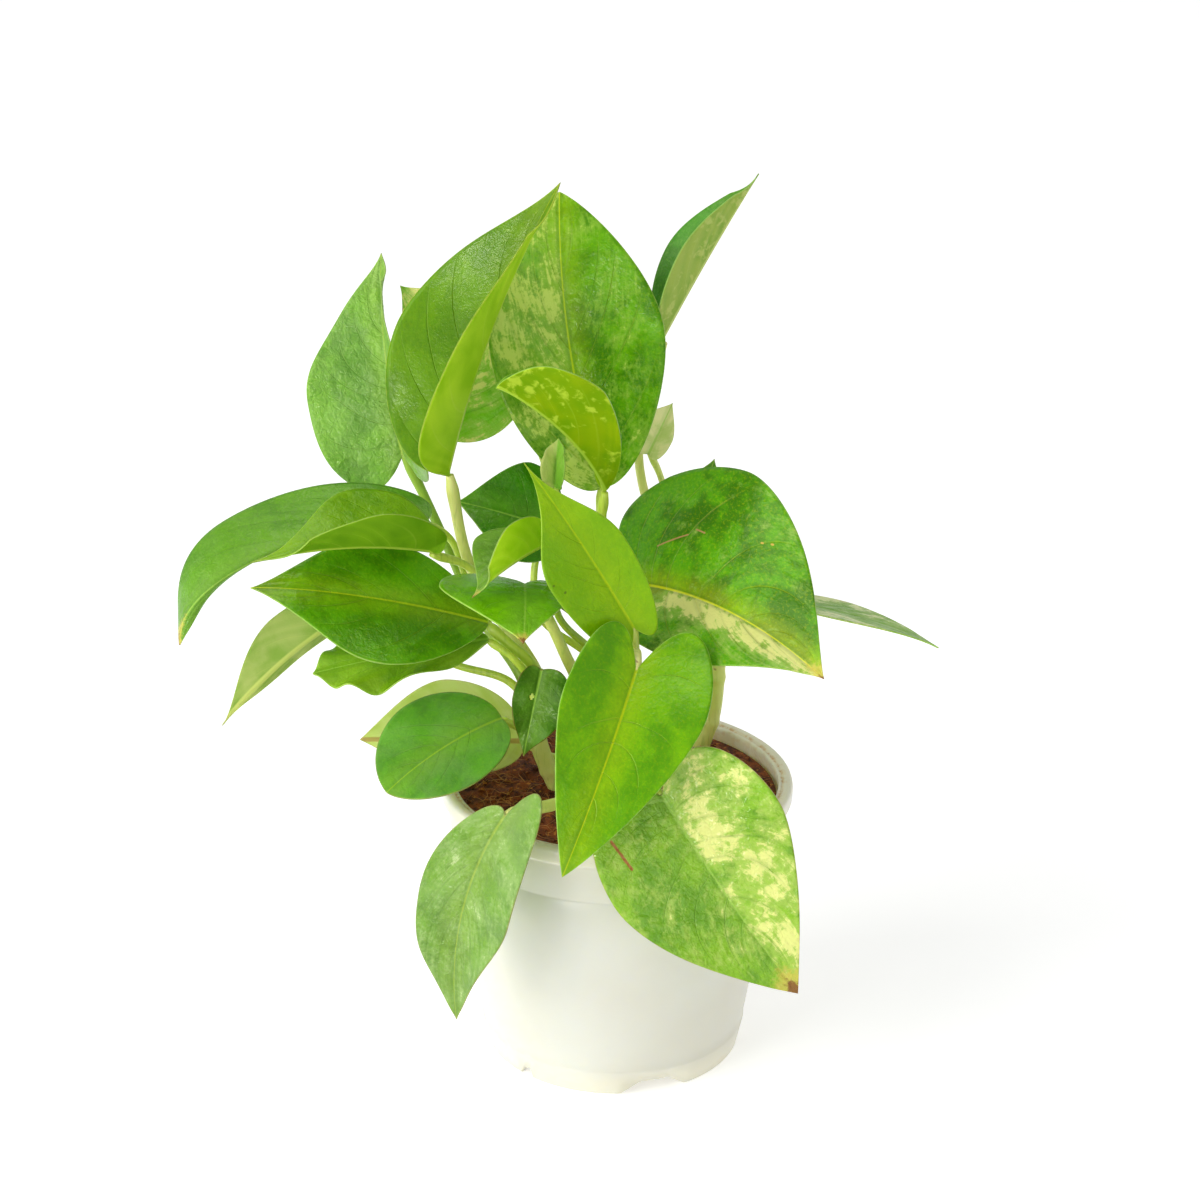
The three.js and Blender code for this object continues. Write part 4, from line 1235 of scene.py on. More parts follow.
@dataclass(frozen=True)
class Leaf:
    """One blade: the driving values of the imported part, and the look of its two faces.

    base and tip are where the stalk meets it and its drip tip, faces the way its glossy side
    looks, half its widths left and right of the midrib. The other shape values are shares of
    the length, mm and degrees, as in the part's source, with the left half's first in a pair.

    lobe, widest, full, point, tail: How far the lobes reach back, where the half is widest, how
        full its shoulders are, and how long and how wide the drip tip is.
    fold, unfold, curl: Turn of each half about the midrib, its change towards the tip, and the
        turn from midrib to margin.
    bend, hook, sweep: Droop along the midrib, more of it at the tip, and the turn sideways.
    wave, waves, holes: Height and number of the margin's waves, and what is torn out.
    """

    name: str
    base: Point
    tip: Point
    faces: Point
    half: Pair
    slot: str
    look: BladeLook
    back: BladeBack
    lobe: Pair = (0.1, 0.1)
    widest: Pair = (0.36, 0.36)
    full: float = 1.0
    point: float = 0.12
    tail: float = 0.1
    fold: Pair = (15.0, 15.0)
    unfold: Pair = (0.0, 0.0)
    curl: Pair = (0.0, 0.0)
    bend: float = 20.0
    hook: float = 0.0
    sweep: float = 0.0
    wave: float = 0.0
    waves: float = 3.0
    holes: tuple = ()
    rows: int = 72
    columns: int = 40
    thickness: float = 0.42

    def half_outline(self, side: int, u: np.ndarray) -> np.ndarray:
        """Half of the heart-shaped outline.

        Args:
            side: 0 for the left half, 1 for the right.
            u: Shares of the length, from 0 at the base to 1 at the tip.

        Returns:
            Shares of the length and of the half width.
        """
        lobe, widest = self.lobe[side], self.widest[side]
        shoulder = (widest - 0.3 * self.full, 1)
        start = np.clip(u / WIDEST_AT, 0, 1)
        low = bezier((0, 0), (-2 * lobe, 0.5 * self.full), shoulder, (widest, 1), start)
        onwards = np.clip((u - WIDEST_AT) / (1 - WIDEST_AT), 0, 1)
        high = bezier((widest, 1), (widest + 0.22, 1), (1 - self.point, self.tail), (1, 0), onwards)
        return np.where((u <= WIDEST_AT)[..., None], low, high)

    def frames(self, share: np.ndarray) -> np.ndarray:
        """The midrib's rotations.

        Args:
            share: Shares of its length.

        Returns:
            Matrices whose columns point along, left and out of the glossy side.
        """
        droop = np.radians(self.bend * share + self.hook * np.clip((share - 0.6) / 0.4, 0, None) ** 2)
        turn = np.radians(self.sweep * share)
        c, s, p, q = np.cos(droop), np.sin(droop), np.cos(turn), np.sin(turn)
        rows = ((c * p, -c * q, s), (q, p, np.zeros_like(c)), (-s * p, s * q, c))
        return np.stack([np.stack(row, -1) for row in rows], -2)

    def spine(self, share: np.ndarray) -> tuple[np.ndarray, np.ndarray]:
        """A midrib of length 1, which runs straight on past its base.

        Args:
            share: Shares of its length, below 0 past its base.

        Returns:
            The points and their rotations.
        """
        knots = np.linspace(0, 1, SPINE_STEPS + 1)
        along = self.frames(knots)[:, :, 0]
        path = np.vstack([np.zeros(3), np.cumsum((along[1:] + along[:-1]) / 2 / SPINE_STEPS, 0)])
        within = np.clip(share, 0, 1)
        points = np.stack([np.interp(within, knots, path[:, k]) for k in range(3)], -1)
        turns = self.frames(within)
        return points + turns[..., :, 0] * (share - within)[..., None], turns

    def placing(self) -> tuple[np.ndarray, float]:
        """How the blade is turned into its place.

        Returns:
            The rotation, and the midrib's length in mm.
        """
        points, turns = self.spine(np.array([0.5, 1.0]))
        chord = points[1]
        span = np.array(self.tip, float) - np.array(self.base, float)

        def frame_of(along: np.ndarray, facing: np.ndarray) -> np.ndarray:
            """A frame from two directions.

            Args:
                along: The first direction.
                facing: Where the third one should look.

            Returns:
                A matrix with its columns square to each other.
            """
            x = along / np.linalg.norm(along)
            z = facing - x * facing.dot(x)
            z = z / np.linalg.norm(z)
            return np.stack([x, np.cross(z, x), z], 1)

        turn = frame_of(span, np.array(self.faces, float)) @ frame_of(chord, turns[0][:, 2]).T
        return turn, float(np.linalg.norm(span) / np.linalg.norm(chord))

    def surface(self, u: np.ndarray, v: np.ndarray) -> tuple[np.ndarray, np.ndarray, np.ndarray]:
        """The middle surface of the blade.

        Args:
            u: 0 at the base to 1 at the tip.
            v: -1 at the right margin, 0 on the midrib, 1 at the left margin.

        Returns:
            Points in mm, and how far along and across the blade each lies, in mm.
        """
        left = v >= 0
        out = np.abs(v)
        outline = np.where(left[..., None], self.half_outline(0, u), self.half_outline(1, u))
        width = np.where(left, *self.half)
        share = u**1.5 * (1 - out) + outline[..., 0] * out
        reach = outline[..., 1] * width * out
        fold = np.where(left, self.fold[0] + self.unfold[0] * u, self.fold[1] + self.unfold[1] * u)
        fold = fold * np.minimum(1, outline[..., 1] * width / FLAT_MARGIN)
        curl = np.where(left, *self.curl)
        arc = np.linspace(0, 1, ARC_STEPS + 1)
        angles = np.radians(fold[..., None] + (curl * reach / width)[..., None] * arc)
        middles = (np.cos(angles[..., 1:]) + np.cos(angles[..., :-1])) / 2
        rises = (np.sin(angles[..., 1:]) + np.sin(angles[..., :-1])) / 2
        ripple = np.sin(2 * np.pi * self.waves * u + np.where(left, 0.0, 2.0))
        lift = rises.mean(-1) * reach + self.wave * ripple * out**2 * np.sin(np.pi * u)
        sideways = middles.mean(-1) * reach * np.where(left, 1, -1)
        turn, length = self.placing()
        points, turns = self.spine(share)
        points = points * length + turns[..., :, 1] * sideways[..., None]
        points = points + turns[..., :, 2] * lift[..., None]
        return points @ turn.T + np.array(self.base, float), share * length, reach * np.where(left, 1, -1)

    def vein_phase(self, u: np.ndarray, v: np.ndarray) -> np.ndarray:
        """The side veins' phase: it grows by 1 from one to the next, unevenly as in life.

        Args:
            u: 0 at the base to 1 at the tip.
            v: -1 at the right margin, 0 on the midrib, 1 at the left margin.

        Returns:
            The phases.
        """
        out = np.abs(v)
        lead = u - LATERAL_LEAN * out**LATERAL_POWER
        seed = sum(self.tip) + 2.0 * (v >= 0)
        uneven = 0.25 * np.sin(5.1 * np.mod(seed, 7.0) + 11 * lead)
        uneven = uneven + 0.12 * np.sin(27 * lead + seed + 3 * out)
        return lead * self.look.laterals + uneven

    def margin_distance(self, where: np.ndarray) -> np.ndarray:
        """How far each point is from the blade's edge.

        Args:
            where: The points, in mm.

        Returns:
            The distances, in mm.
        """
        u = np.linspace(0, 1, EDGE_POINTS)
        halves = [self.surface(u, np.full(EDGE_POINTS, side))[0] for side in (-1.0, 1.0)]
        away = np.linalg.norm(where[:, :, None] - np.concatenate(halves), axis=-1)
        return away.min(-1)

    def relief(self, u: np.ndarray, v: np.ndarray, across: np.ndarray) -> np.ndarray:
        """How far the glossy face rises between its veins.

        Args:
            u: 0 at the base to 1 at the tip.
            v: -1 at the right margin, 0 on the midrib, 1 at the left margin.
            across: How far from the midrib, in mm.

        Returns:
            The heights, in mm.
        """
        out = np.abs(v)
        phase = self.vein_phase(u, v)
        between = np.abs(np.sin(np.pi * (phase - 0.5))) ** 0.7 - 0.6
        inside = np.sin(np.pi * np.clip(out, 0, 1)) ** 0.6 * np.sin(np.pi * u) ** 0.5
        rib = self.look.groove * np.exp(-((across / (1.1 - 0.5 * u)) ** 2)) * (1 - u)
        return self.look.relief * between * inside - rib

    def build(self) -> bpy.types.Object:
        """Makes the blade and dresses its two faces.

        Returns:
            The piece.
        """
        shares = np.linspace(0, 1, self.rows + 1), np.linspace(-1, 1, self.columns + 1)
        u, v = np.meshgrid(*shares, indexing="ij")
        where, along, across = self.surface(u, v)
        phase = self.vein_phase(u, v) / VEIN_SCALE
        margin = self.margin_distance(where) / UV_MM
        where = where + blade_normals(where) * self.relief(u, v, across)[..., None]
        mesh = bmesh.new()
        maps = (BLADE_UV, BLADE_MM_UV, VEIN_UV)
        for name in maps:
            mesh.loops.layers.uv.new(name)
        place_grid(mesh, self.rows, self.columns, where)
        first, second, third = (mesh.loops.layers.uv[name] for name in maps)
        for face in mesh.faces:
            for loop in face.loops:
                at = round(loop[first].uv.x * self.rows), round(loop[first].uv.y * self.columns)
                loop[second].uv = (along[at] / UV_MM, across[at] / UV_MM)
                loop[third].uv = (phase[at], margin[at])
        self.pierce(mesh, first)
        bmesh.ops.remove_doubles(mesh, verts=mesh.verts, dist=WELD)
        upper = WaxyBlade(self.name, self.look, sum(self.tip) % 37).build()
        faces = [upper, self.back_material()]
        piece = finish_piece(self.name + "_blade", mesh, faces, self.slot, (self.name,))
        shell = piece.modifiers.new("thickness", "SOLIDIFY")
        shell.thickness = self.thickness * MM
        shell.offset = 0
        shell.use_even_offset = False
        shell.material_offset = 1
        shell.material_offset_rim = 0
        return piece

    def back_material(self) -> bpy.types.Material:
        """The underside's material, shared by the blades that look alike from below."""
        name = "leaf_back_matt_" + self.back.name
        return bpy.data.materials.get(name) or self.back.build()

    def pierce(self, mesh: bmesh.types.BMesh, layer: Any) -> None:
        """Opens the blade's holes.

        Args:
            mesh: The blade's bmesh.
            layer: Its first map, in which a hole is (u, v, radius along, radius across).
        """
        gone = []
        for face in mesh.faces:
            middle = sum((loop[layer].uv for loop in face.loops), Vector((0, 0))) / len(face.loops)
            for u, v, along, across in self.holes:
                if ((middle.x - u) / along) ** 2 + ((middle.y - v) / across) ** 2 < 1:
                    gone.append(face)
                    break
        bmesh.ops.delete(mesh, geom=gone, context="FACES")


def blade_normals(where: np.ndarray) -> np.ndarray:
    """Normals of a grid of points, out of its glossy side.

    Args:
        where: The points.

    Returns:
        The unit normals.
    """
    normals = np.cross(np.gradient(where, axis=0), np.gradient(where, axis=1))
    size = np.linalg.norm(normals, axis=-1, keepdims=True)
    normals = normals / np.maximum(size, 1e-9)
    normals[0] = normals[1]
    normals[-1] = normals[-2]
    return normals


BACK = BladeBack("mature")
BACK_YOUNG = BladeBack("young", "AED42A", "92C214", "C6DC5A", band=0.35, vein_show=0.25)
BACK_LIME = BladeBack("lime", "6F9E12", "5A8C0A", "A4C040", band=0.3, vein_show=0.25)
# Painted light: a brighter copy of the young underside, for a blade that sits in shade.
BACK_PAINTED_BRIGHT = BladeBack("bright", "BEE82A", "A6D814", "D2E85C", band=0.3, vein_show=0.2)
# Painted light: an underside coloured nearly white-yellow, for a low blade that sits in deep shade.
BACK_PAINTED_LIGHT = BladeBack("low", "EAF4A0", "D8E87C", "C9A868", band=0.25)
BACK_TURNED = BladeBack("turned", "86A406", "6E9904", "A9C83C", 0.2, 0.2, amount=0.2, cream="B4CC3A")
BACK_PALE = BladeBack("pale", "AAB966", "86A546", "C2CC6C", band=0.25)
BACK_STREAKED = BladeBack("streaked", "9AAE4C", "7FA23C", "C0CC78", 0.3, 0.2, amount=0.3, cream="B0BC62")

LEAVES = [
    Leaf(
        "leaf_upper_left", (-67, 28, 182), (-74, 46, 240), (-0.3, -1, 0.25), (26, 22), "leaf_mature",
        BladeLook("6CA823", "417D14", vein="AFC743", haze_and_sheen=0.3, relief=0.34, laterals=9, gloss=0.28,
                  pucker=2.4),
        BACK, lobe=(0.18, 0.18), widest=(0.31, 0.31), bend=12, sweep=-10, fold=(8, 25), unfold=(0, 50),
        curl=(10, 20), wave=1, waves=4,
    ),
    Leaf(
        "leaf_far_left", (-58, 5, 169), (-129, -20, 138), (-0.1, -0.7, 0.75), (6, 20), "leaf_mature",
        BladeLook("5D9A07", "448102", haze_and_sheen=0.12, relief=0.36, laterals=8, brown=3, pucker=1.5),
        BACK, lobe=(0, 0.06), widest=(0.45, 0.5), point=0, tail=0.42, bend=24, hook=75, sweep=36,
        fold=(-125, -5), curl=(-10, -10), wave=0.6,
    ),
    Leaf(
        "leaf_far_left_under", (-55, -13, 166), (-105, -35, 170), (0, -0.3, 1), (13, 22), "leaf_young",
        BladeLook("7DB102", "629C02", vein="A1C902"),
        BACK_LIME, lobe=(0.06, 0.06), widest=(0.33, 0.33), point=0.3, tail=0.04, bend=26, fold=(75, 18),
        curl=(10, 0), wave=0.4,
    ),
    Leaf(
        "leaf_top_left", (-51, -2, 186), (-19, 8, 271), (-0.55, -1, 0.2), (27, 20), "leaf_young",
        BladeLook("5C8F02", "407402", vein="90A306", gloss=0.25, wax=0.15, pucker=0.3, margin="C5D04A"),
        BACK_YOUNG, lobe=(0.02, 0), full=0.9, widest=(0.38, 0.24), point=0.18, tail=0.16, bend=-8,
        sweep=-22, fold=(12, 96), unfold=(0, -22), curl=(10, 12), wave=0.8,
    ),
    Leaf(
        "leaf_top_middle", (-6, 18, 176), (-20, 36, 262), (0, -1, 0.15), (24, 29), "leaf_mature",
        BladeLook("61A802", "307102", vein="CBDC12", cream="C6DA62", marbling=Marbling.FLECKS,
                  amount=0.38, left=0.9, gloss=0.3),
        BACK, lobe=(0.02, 0.02), full=0.75, widest=(0.5, 0.5), point=0.05, tail=0.36, bend=10, sweep=-18,
        fold=(8, 6), curl=(5, 5), wave=0.8, waves=4,
    ),
    Leaf(
        "leaf_inner_left", (-22, 12, 165), (-49, 6, 175), (0, -1, 0.8), (15, 17), "leaf_mature",
        BladeLook("449502", "307602", gloss=0.25), BACK,
    ),
    Leaf(
        "leaf_inner_upper", (-30, 28, 199), (-68.5, 46, 230), (0.3, -1, 0.1), (26, 22), "leaf_variegated",
        BladeLook("83CD05", "58AC02", marbling=Marbling.STREAKS, amount=0.6, laterals=12),
        BACK, lobe=(0.04, 0.04), fold=(0, 0),
    ),
    Leaf(
        "leaf_turned_middle", (-5, 4, 180), (-36, -14, 217), (0.25, 1, 0.1), (21, 12), "leaf_underside",
        BladeLook("6FAE14", "559A0A"), BACK_TURNED, lobe=(0, 0), full=0.3, widest=(0.64, 0.64), point=0.02,
        tail=0.6, bend=-10, sweep=-42, fold=(-8, 100), wave=0.4,
    ),
    Leaf(
        "leaf_young_small", (-20, 8, 179), (-19, 10, 194), (-0.3, -1, 0.1), (6, 7), "leaf_variegated",
        BladeLook("86C43C", "6CAE2A", cream="E6E88E", marbling=Marbling.BLOTCHES, amount=0.5, left=2.5,
                  laterals=5),
        BACK, lobe=(0.02, 0.02), widest=(0.5, 0.5), fold=(60, 50), rows=40, columns=24,
    ),
    Leaf(
        "leaf_young_bright", (4, -22, 147), (-28, -30, 200), (0.1, -1, 0.45), (15.5, 11.5), "leaf_young",
        BladeLook("7EB102", "6CA302", vein="B0C702", margin="B4D24E", gloss=0.33, relief=0.06,
                  marks=(Mark((26.3, 14.0), (26.3, 14.1), 0.5, "4E6A10"),
                         Mark((22.3, 12.2), (22.3, 12.3), 0.5, "4E6A10"))),
        BACK_YOUNG, lobe=(0.12, 0.12), widest=(0.4, 0.4), point=0.3, tail=0.05, bend=-12, sweep=8,
        fold=(12, 6), curl=(0, 10), wave=0.4,
    ),
    Leaf(
        "leaf_folded_middle", (-22, -14, 169), (-42, -36, 161), (-0.5, -0.5, 0.7), (13, 15), "leaf_mature",
        BladeLook("689E09", "4C8004", relief=0.29, haze_and_sheen=0.15, brown=2), BACK_PAINTED_BRIGHT, lobe=(0.06, 0.06),
        widest=(0.4, 0.4), point=0.25, tail=0.05, fold=(88, 20), unfold=(-10, 0),
    ),
    Leaf(
        "leaf_dark_middle", (-28, -14, 157), (-27, -48, 152), (0.2, -0.7, 1), (12, 25), "leaf_mature",
        BladeLook("78BF02", "579902", brown=4, margin="C5D676", gloss=0.25), BACK, lobe=(0.16, 0.16),
        widest=(0.3, 0.3), point=0.14, bend=30, fold=(4, -2),
    ),
    Leaf(
        "leaf_right_large", (6, 15, 146), (59, -37, 138), (-0.5, -0.65, 0.6), (40.5, 22.5),
        "leaf_variegated",
        BladeLook("58A402", "2A6102", vein="EBE713", cream="DEDC86", marbling=Marbling.STREAKS,
                  amount=0.1, left=-0.8, band=(-1, 8, 0.3, 1.1, 0.14), brown=2, gloss=0.3,
                  laterals=8, relief=0.2,
                  marks=(Mark((3.1, 12.5), (13.0, 17.5), 0.35, "B98A5C"),
                         Mark((15.4, 19.6), (18.7, 19.2), 0.35, "B98A5C"),
                         Mark((37.0, 22.4), (37.4, 22.5), 0.4, "D0A848"),
                         Mark((39.8, 23.3), (40.2, 23.4), 0.4, "D0A848"))),
        BACK, lobe=(0.24, 0.1), widest=(0.32, 0.4), tail=0.12, bend=25, sweep=-28, fold=(5, 22), wave=1,
        waves=2.5, rows=96, columns=56,
    ),
    Leaf(
        "leaf_right_inner", (18, 48, 142), (29, 56, 173), (0.2, -1, 0.2), (14, 14), "leaf_mature",
        BladeLook("3A8412", "2A6A08"), BACK, lobe=(0.08, 0.08),
    ),
    Leaf(
        "leaf_top_right", (11, 28, 219), (39, 42, 267), (-0.95, 0.15, 0.5), (15, 14), "leaf_variegated",
        BladeLook("3E8F1A", "2C740C", haze_and_sheen=0.1), BACK_STREAKED, lobe=(0.02, 0.02), full=0.7,
        widest=(0.45, 0.45), bend=4, fold=(55, 35),
    ),
    Leaf(
        "leaf_small_right", (8, 30, 183), (15, 34, 198), (0, -1, 0.3), (9, 5), "leaf_variegated",
        # Its cream is partly its own variegation and partly painted light: more of it is cream to make up
        # for the shade it sits in.
        BladeLook("D0DC88", "A0C050", cream="F4EEB4", marbling=Marbling.BLOTCHES, amount=1.1, rib=-1,
                  laterals=5),
        BACK_PALE, rows=40, columns=24,
    ),
    Leaf(
        "leaf_far_right", (46, 12, 143), (96, 0, 133), (0.3, 0.18, 0.9), (15, 15), "leaf_variegated",
        BladeLook("7EB603", "5A9D02", cream="E8EFA8", marbling=Marbling.STREAKS, amount=0.5, rib=-1),
        BACK_STREAKED, lobe=(0.06, 0.06), bend=14, hook=8, fold=(6, 0),
    ),
    Leaf(
        "leaf_front_middle", (5, -33, 138), (-15, -70, 90), (0.15, -1, 0.45), (23.5, 19.5), "leaf_mature",
        BladeLook("71B102", "4A8F02", vein="C3CE07", margin="B7DC72"),
        BACK, lobe=(0.25, 0.2), widest=(0.13, 0.24), tail=0.25, bend=25, sweep=-2, fold=(10, 12),
        curl=(5, 5), wave=0.6, rows=96, columns=56,
    ),
    Leaf(
        "leaf_front_right", (13, -47, 105), (54, -58, 47), (0.05, -1, 0.35), (28, 29), "leaf_variegated",
        BladeLook("86B921", "538E10", cream="E6E88C", margin="C29A52", marbling=Marbling.STREAKS,
                  amount=0.28, left=0.5, band=(1, 20, 0.2, 1.1, 0.05),
                  marks=(Mark((3.2, -19.6), (12.8, -18.8), 0.6, "A8542C"),
                         Mark((-7.2, -11.3), (-6.5, -11.5), 0.9, "B07A3C")),
                  brown=4.5, pucker=1.8, wax=0.4, laterals=9),
        BACK, lobe=(0.12, 0.12), widest=(0.26, 0.27), point=0.1, tail=0.2, bend=12, sweep=6, fold=(10, 10),
        wave=0.8, rows=96, columns=56,
    ),
    Leaf(
        "leaf_front_left", (-32, -54, 101), (-46, -56, 35), (-0.5, -1, 0.3), (17.5, 14.5),
        "leaf_variegated",
        BladeLook("619511", "3B6F08", vein="9DB026", margin="B9975A", cream="C9DC9A",
                  marbling=Marbling.FLECKS, amount=0.22, haze_and_sheen=0.35, relief=0.34, laterals=9,
                  pucker=2.2),
        BACK, lobe=(0.26, 0.06), full=0.7, widest=(0.4, 0.45), point=0.1, tail=0.2, bend=12, sweep=36,
        fold=(12, 14), wave=1,
    ),
    Leaf(
        "leaf_low_left", (-35, -8, 111), (-68, -30, 96), (-0.1, -0.6, 1), (17.5, 19), "leaf_mature",
        BladeLook("53A302", "347E02", vein="A3C702", margin="B58A50", haze_and_sheen=0.25), BACK,
        lobe=(0.02, 0.02), widest=(0.5, 0.5), point=0.03, tail=0.55, bend=22, sweep=12, fold=(5, 5),
    ),
    Leaf(
        "leaf_low_left_under", (-30, 6, 97), (-78, -8, 103), (0, 0.8, -0.6), (21, 11), "leaf_underside",
        BladeLook("4E9A1E", "3C8612"), BACK_PAINTED_LIGHT, lobe=(0.04, 0.04), widest=(0.42, 0.42), point=0.1,
        tail=0.2, bend=-8,
    ),
    Leaf(
        "leaf_left_large", (-39, -8, 142), (-107, -24, 158), (0, -0.7, 1), (24, 19), "leaf_mature",
        BladeLook("5DA408", "3C7A03", vein="C3D31E", gloss=0.3, relief=0.24), BACK, lobe=(0, 0),
        full=0.6, widest=(0.46, 0.46), point=0.16, tail=0.2, bend=10, hook=6, sweep=8, fold=(6, 10),
        wave=0.4,
    ),
    Leaf(
        "leaf_left_turned", (-76, -4, 145), (-117, -24, 114), (0.3, 0.9, -0.2), (12, 4), "leaf_underside",
        BladeLook("4E9A1E", "3C8612"), BACK_PALE, lobe=(0.04, 0.04), widest=(0.42, 0.42), point=0.16,
        tail=0.02, bend=-12, sweep=-24, fold=(0, 80),
    ),
    Leaf(
        "leaf_left_wavy", (-39, -11, 138), (-90, -21, 130), (0, -0.6, 1), (11, 12), "leaf_mature",
        BladeLook("7FAA15", "5D8F08"), BACK, lobe=(0.02, 0.02), full=0.7, widest=(0.62, 0.62), point=0.05,
        tail=0.3, bend=10, fold=(0, 10), wave=3, waves=3.5,
    ),
    Leaf(
        "leaf_ragged_small", (-23, -13, 129), (-28, -20, 104), (0, -1, 0.3), (11, 7), "leaf_mature",
        BladeLook("357002", "265B02", margin="8C5A2C", relief=0.1, laterals=6), BACK, lobe=(0.06, 0.06),
        widest=(0.35, 0.35), wave=1.2, holes=((0.45, 0.42, 0.03, 0.06),), rows=60, columns=36,
    ),
    Leaf(
        "leaf_inner_right", (-2, 2, 149), (-19, -6, 147), (0, -1, 0.7), (17, 10), "leaf_mature",
        BladeLook("3A8414", "28660A", marbling=Marbling.FLECKS, amount=0.2, margin="B9975A"),
        BACK, lobe=(0.08, 0.08),
    ),
]


# ---------------------------------------------------------------- stems
@dataclass(frozen=True)
class Stalk:
    """A leaf stalk: the leaf it carries, where it starts on the stem, and its way there."""

    leaf: str
    start: Point
    via: tuple
    radius: float
    tone: float = 0.5


@dataclass
class Stem:
    """A stem with its leaf stalks. Sizes in mm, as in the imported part.

    radii are those of its foot and its top, swell how much thicker a stalk is where it wraps
    the stem, rings the scars of old leaves on it and ring_height how far they stand out.
    """

    name: str
    route: tuple
    radii: Pair
    stalks: tuple
    tone: float = 0.6
    swell: float = 0.45
    rings: float = 3.2
    ring_height: float = 0.35
    leaves: dict = field(default_factory=dict)

    def build(self, skin: bpy.types.Material) -> bpy.types.Object:
        """Makes the stem and its stalks.

        Args:
            skin: The stalks' material.

        Returns:
            The piece.
        """
        mesh = bmesh.new()
        foot, top = self.radii
        path = catmull_rom(list(self.route), 60)

        def stem_radius(share: float, angle: float) -> float:
            """Radius with the rings of old leaf scars.

            Args:
                share: Share of the length.
                angle: Angle round it.

            Returns:
                The radius, in mm.
            """
            ring = self.ring_height * math.exp(-(((share * self.rings) % 1 - 0.5) / 0.09) ** 2)
            end = math.sqrt(max(0.02, 1 - max(0, (share - 0.93) / 0.07) ** 2))
            return (foot + (top - foot) * share + ring) * end

        sweep_tube(mesh, path, stem_radius, 24, self.tone)
        for stalk in self.stalks:
            self.add_stalk(mesh, stalk)
        return finish_piece(self.name + "_skin", mesh, [skin], "stem_skin", (self.name,))

    def add_stalk(self, mesh: bmesh.types.BMesh, stalk: Stalk) -> None:
        """Adds one stalk, which ends in the blade's underside at its base.

        Args:
            mesh: The stem's bmesh.
            stalk: The stalk.
        """
        leaf = self.leaves[stalk.leaf]
        turn, _ = leaf.placing()
        normal = turn @ leaf.frames(np.array([0.0]))[0][:, 2]
        base = np.array(leaf.base, float)
        along = base - np.array(stalk.via[-1], float)
        along /= np.linalg.norm(along)
        slant = math.sqrt(max(0.0, 1 - float(along.dot(normal)) ** 2))
        end = base - normal * (0.15 + 0.62 * stalk.radius * slant)
        path = catmull_rom([stalk.start, *stalk.via, tuple(end)], 22 + 16 * len(stalk.via))

        def radius(share: float, angle: float) -> float:
            """Thick where it wraps its stem, grooved on one side, swollen under the blade.

            Args:
                share: Share of the length.
                angle: Angle round it.

            Returns:
                The radius, in mm.
            """
            sheath = 1 + self.swell * (1 - share) ** 3
            knee = 0.14 * math.exp(-(((share - 0.93) / 0.05) ** 2))
            narrow = 1 - 0.3 * max(0.0, (share - 0.95) / 0.05)
            channel = 0.16 * max(0.0, math.cos(angle)) ** 6 * (1 - share)
            return stalk.radius * (sheath + knee) * narrow * (1 - channel)

        sweep_tube(mesh, path, radius, 16, stalk.tone)


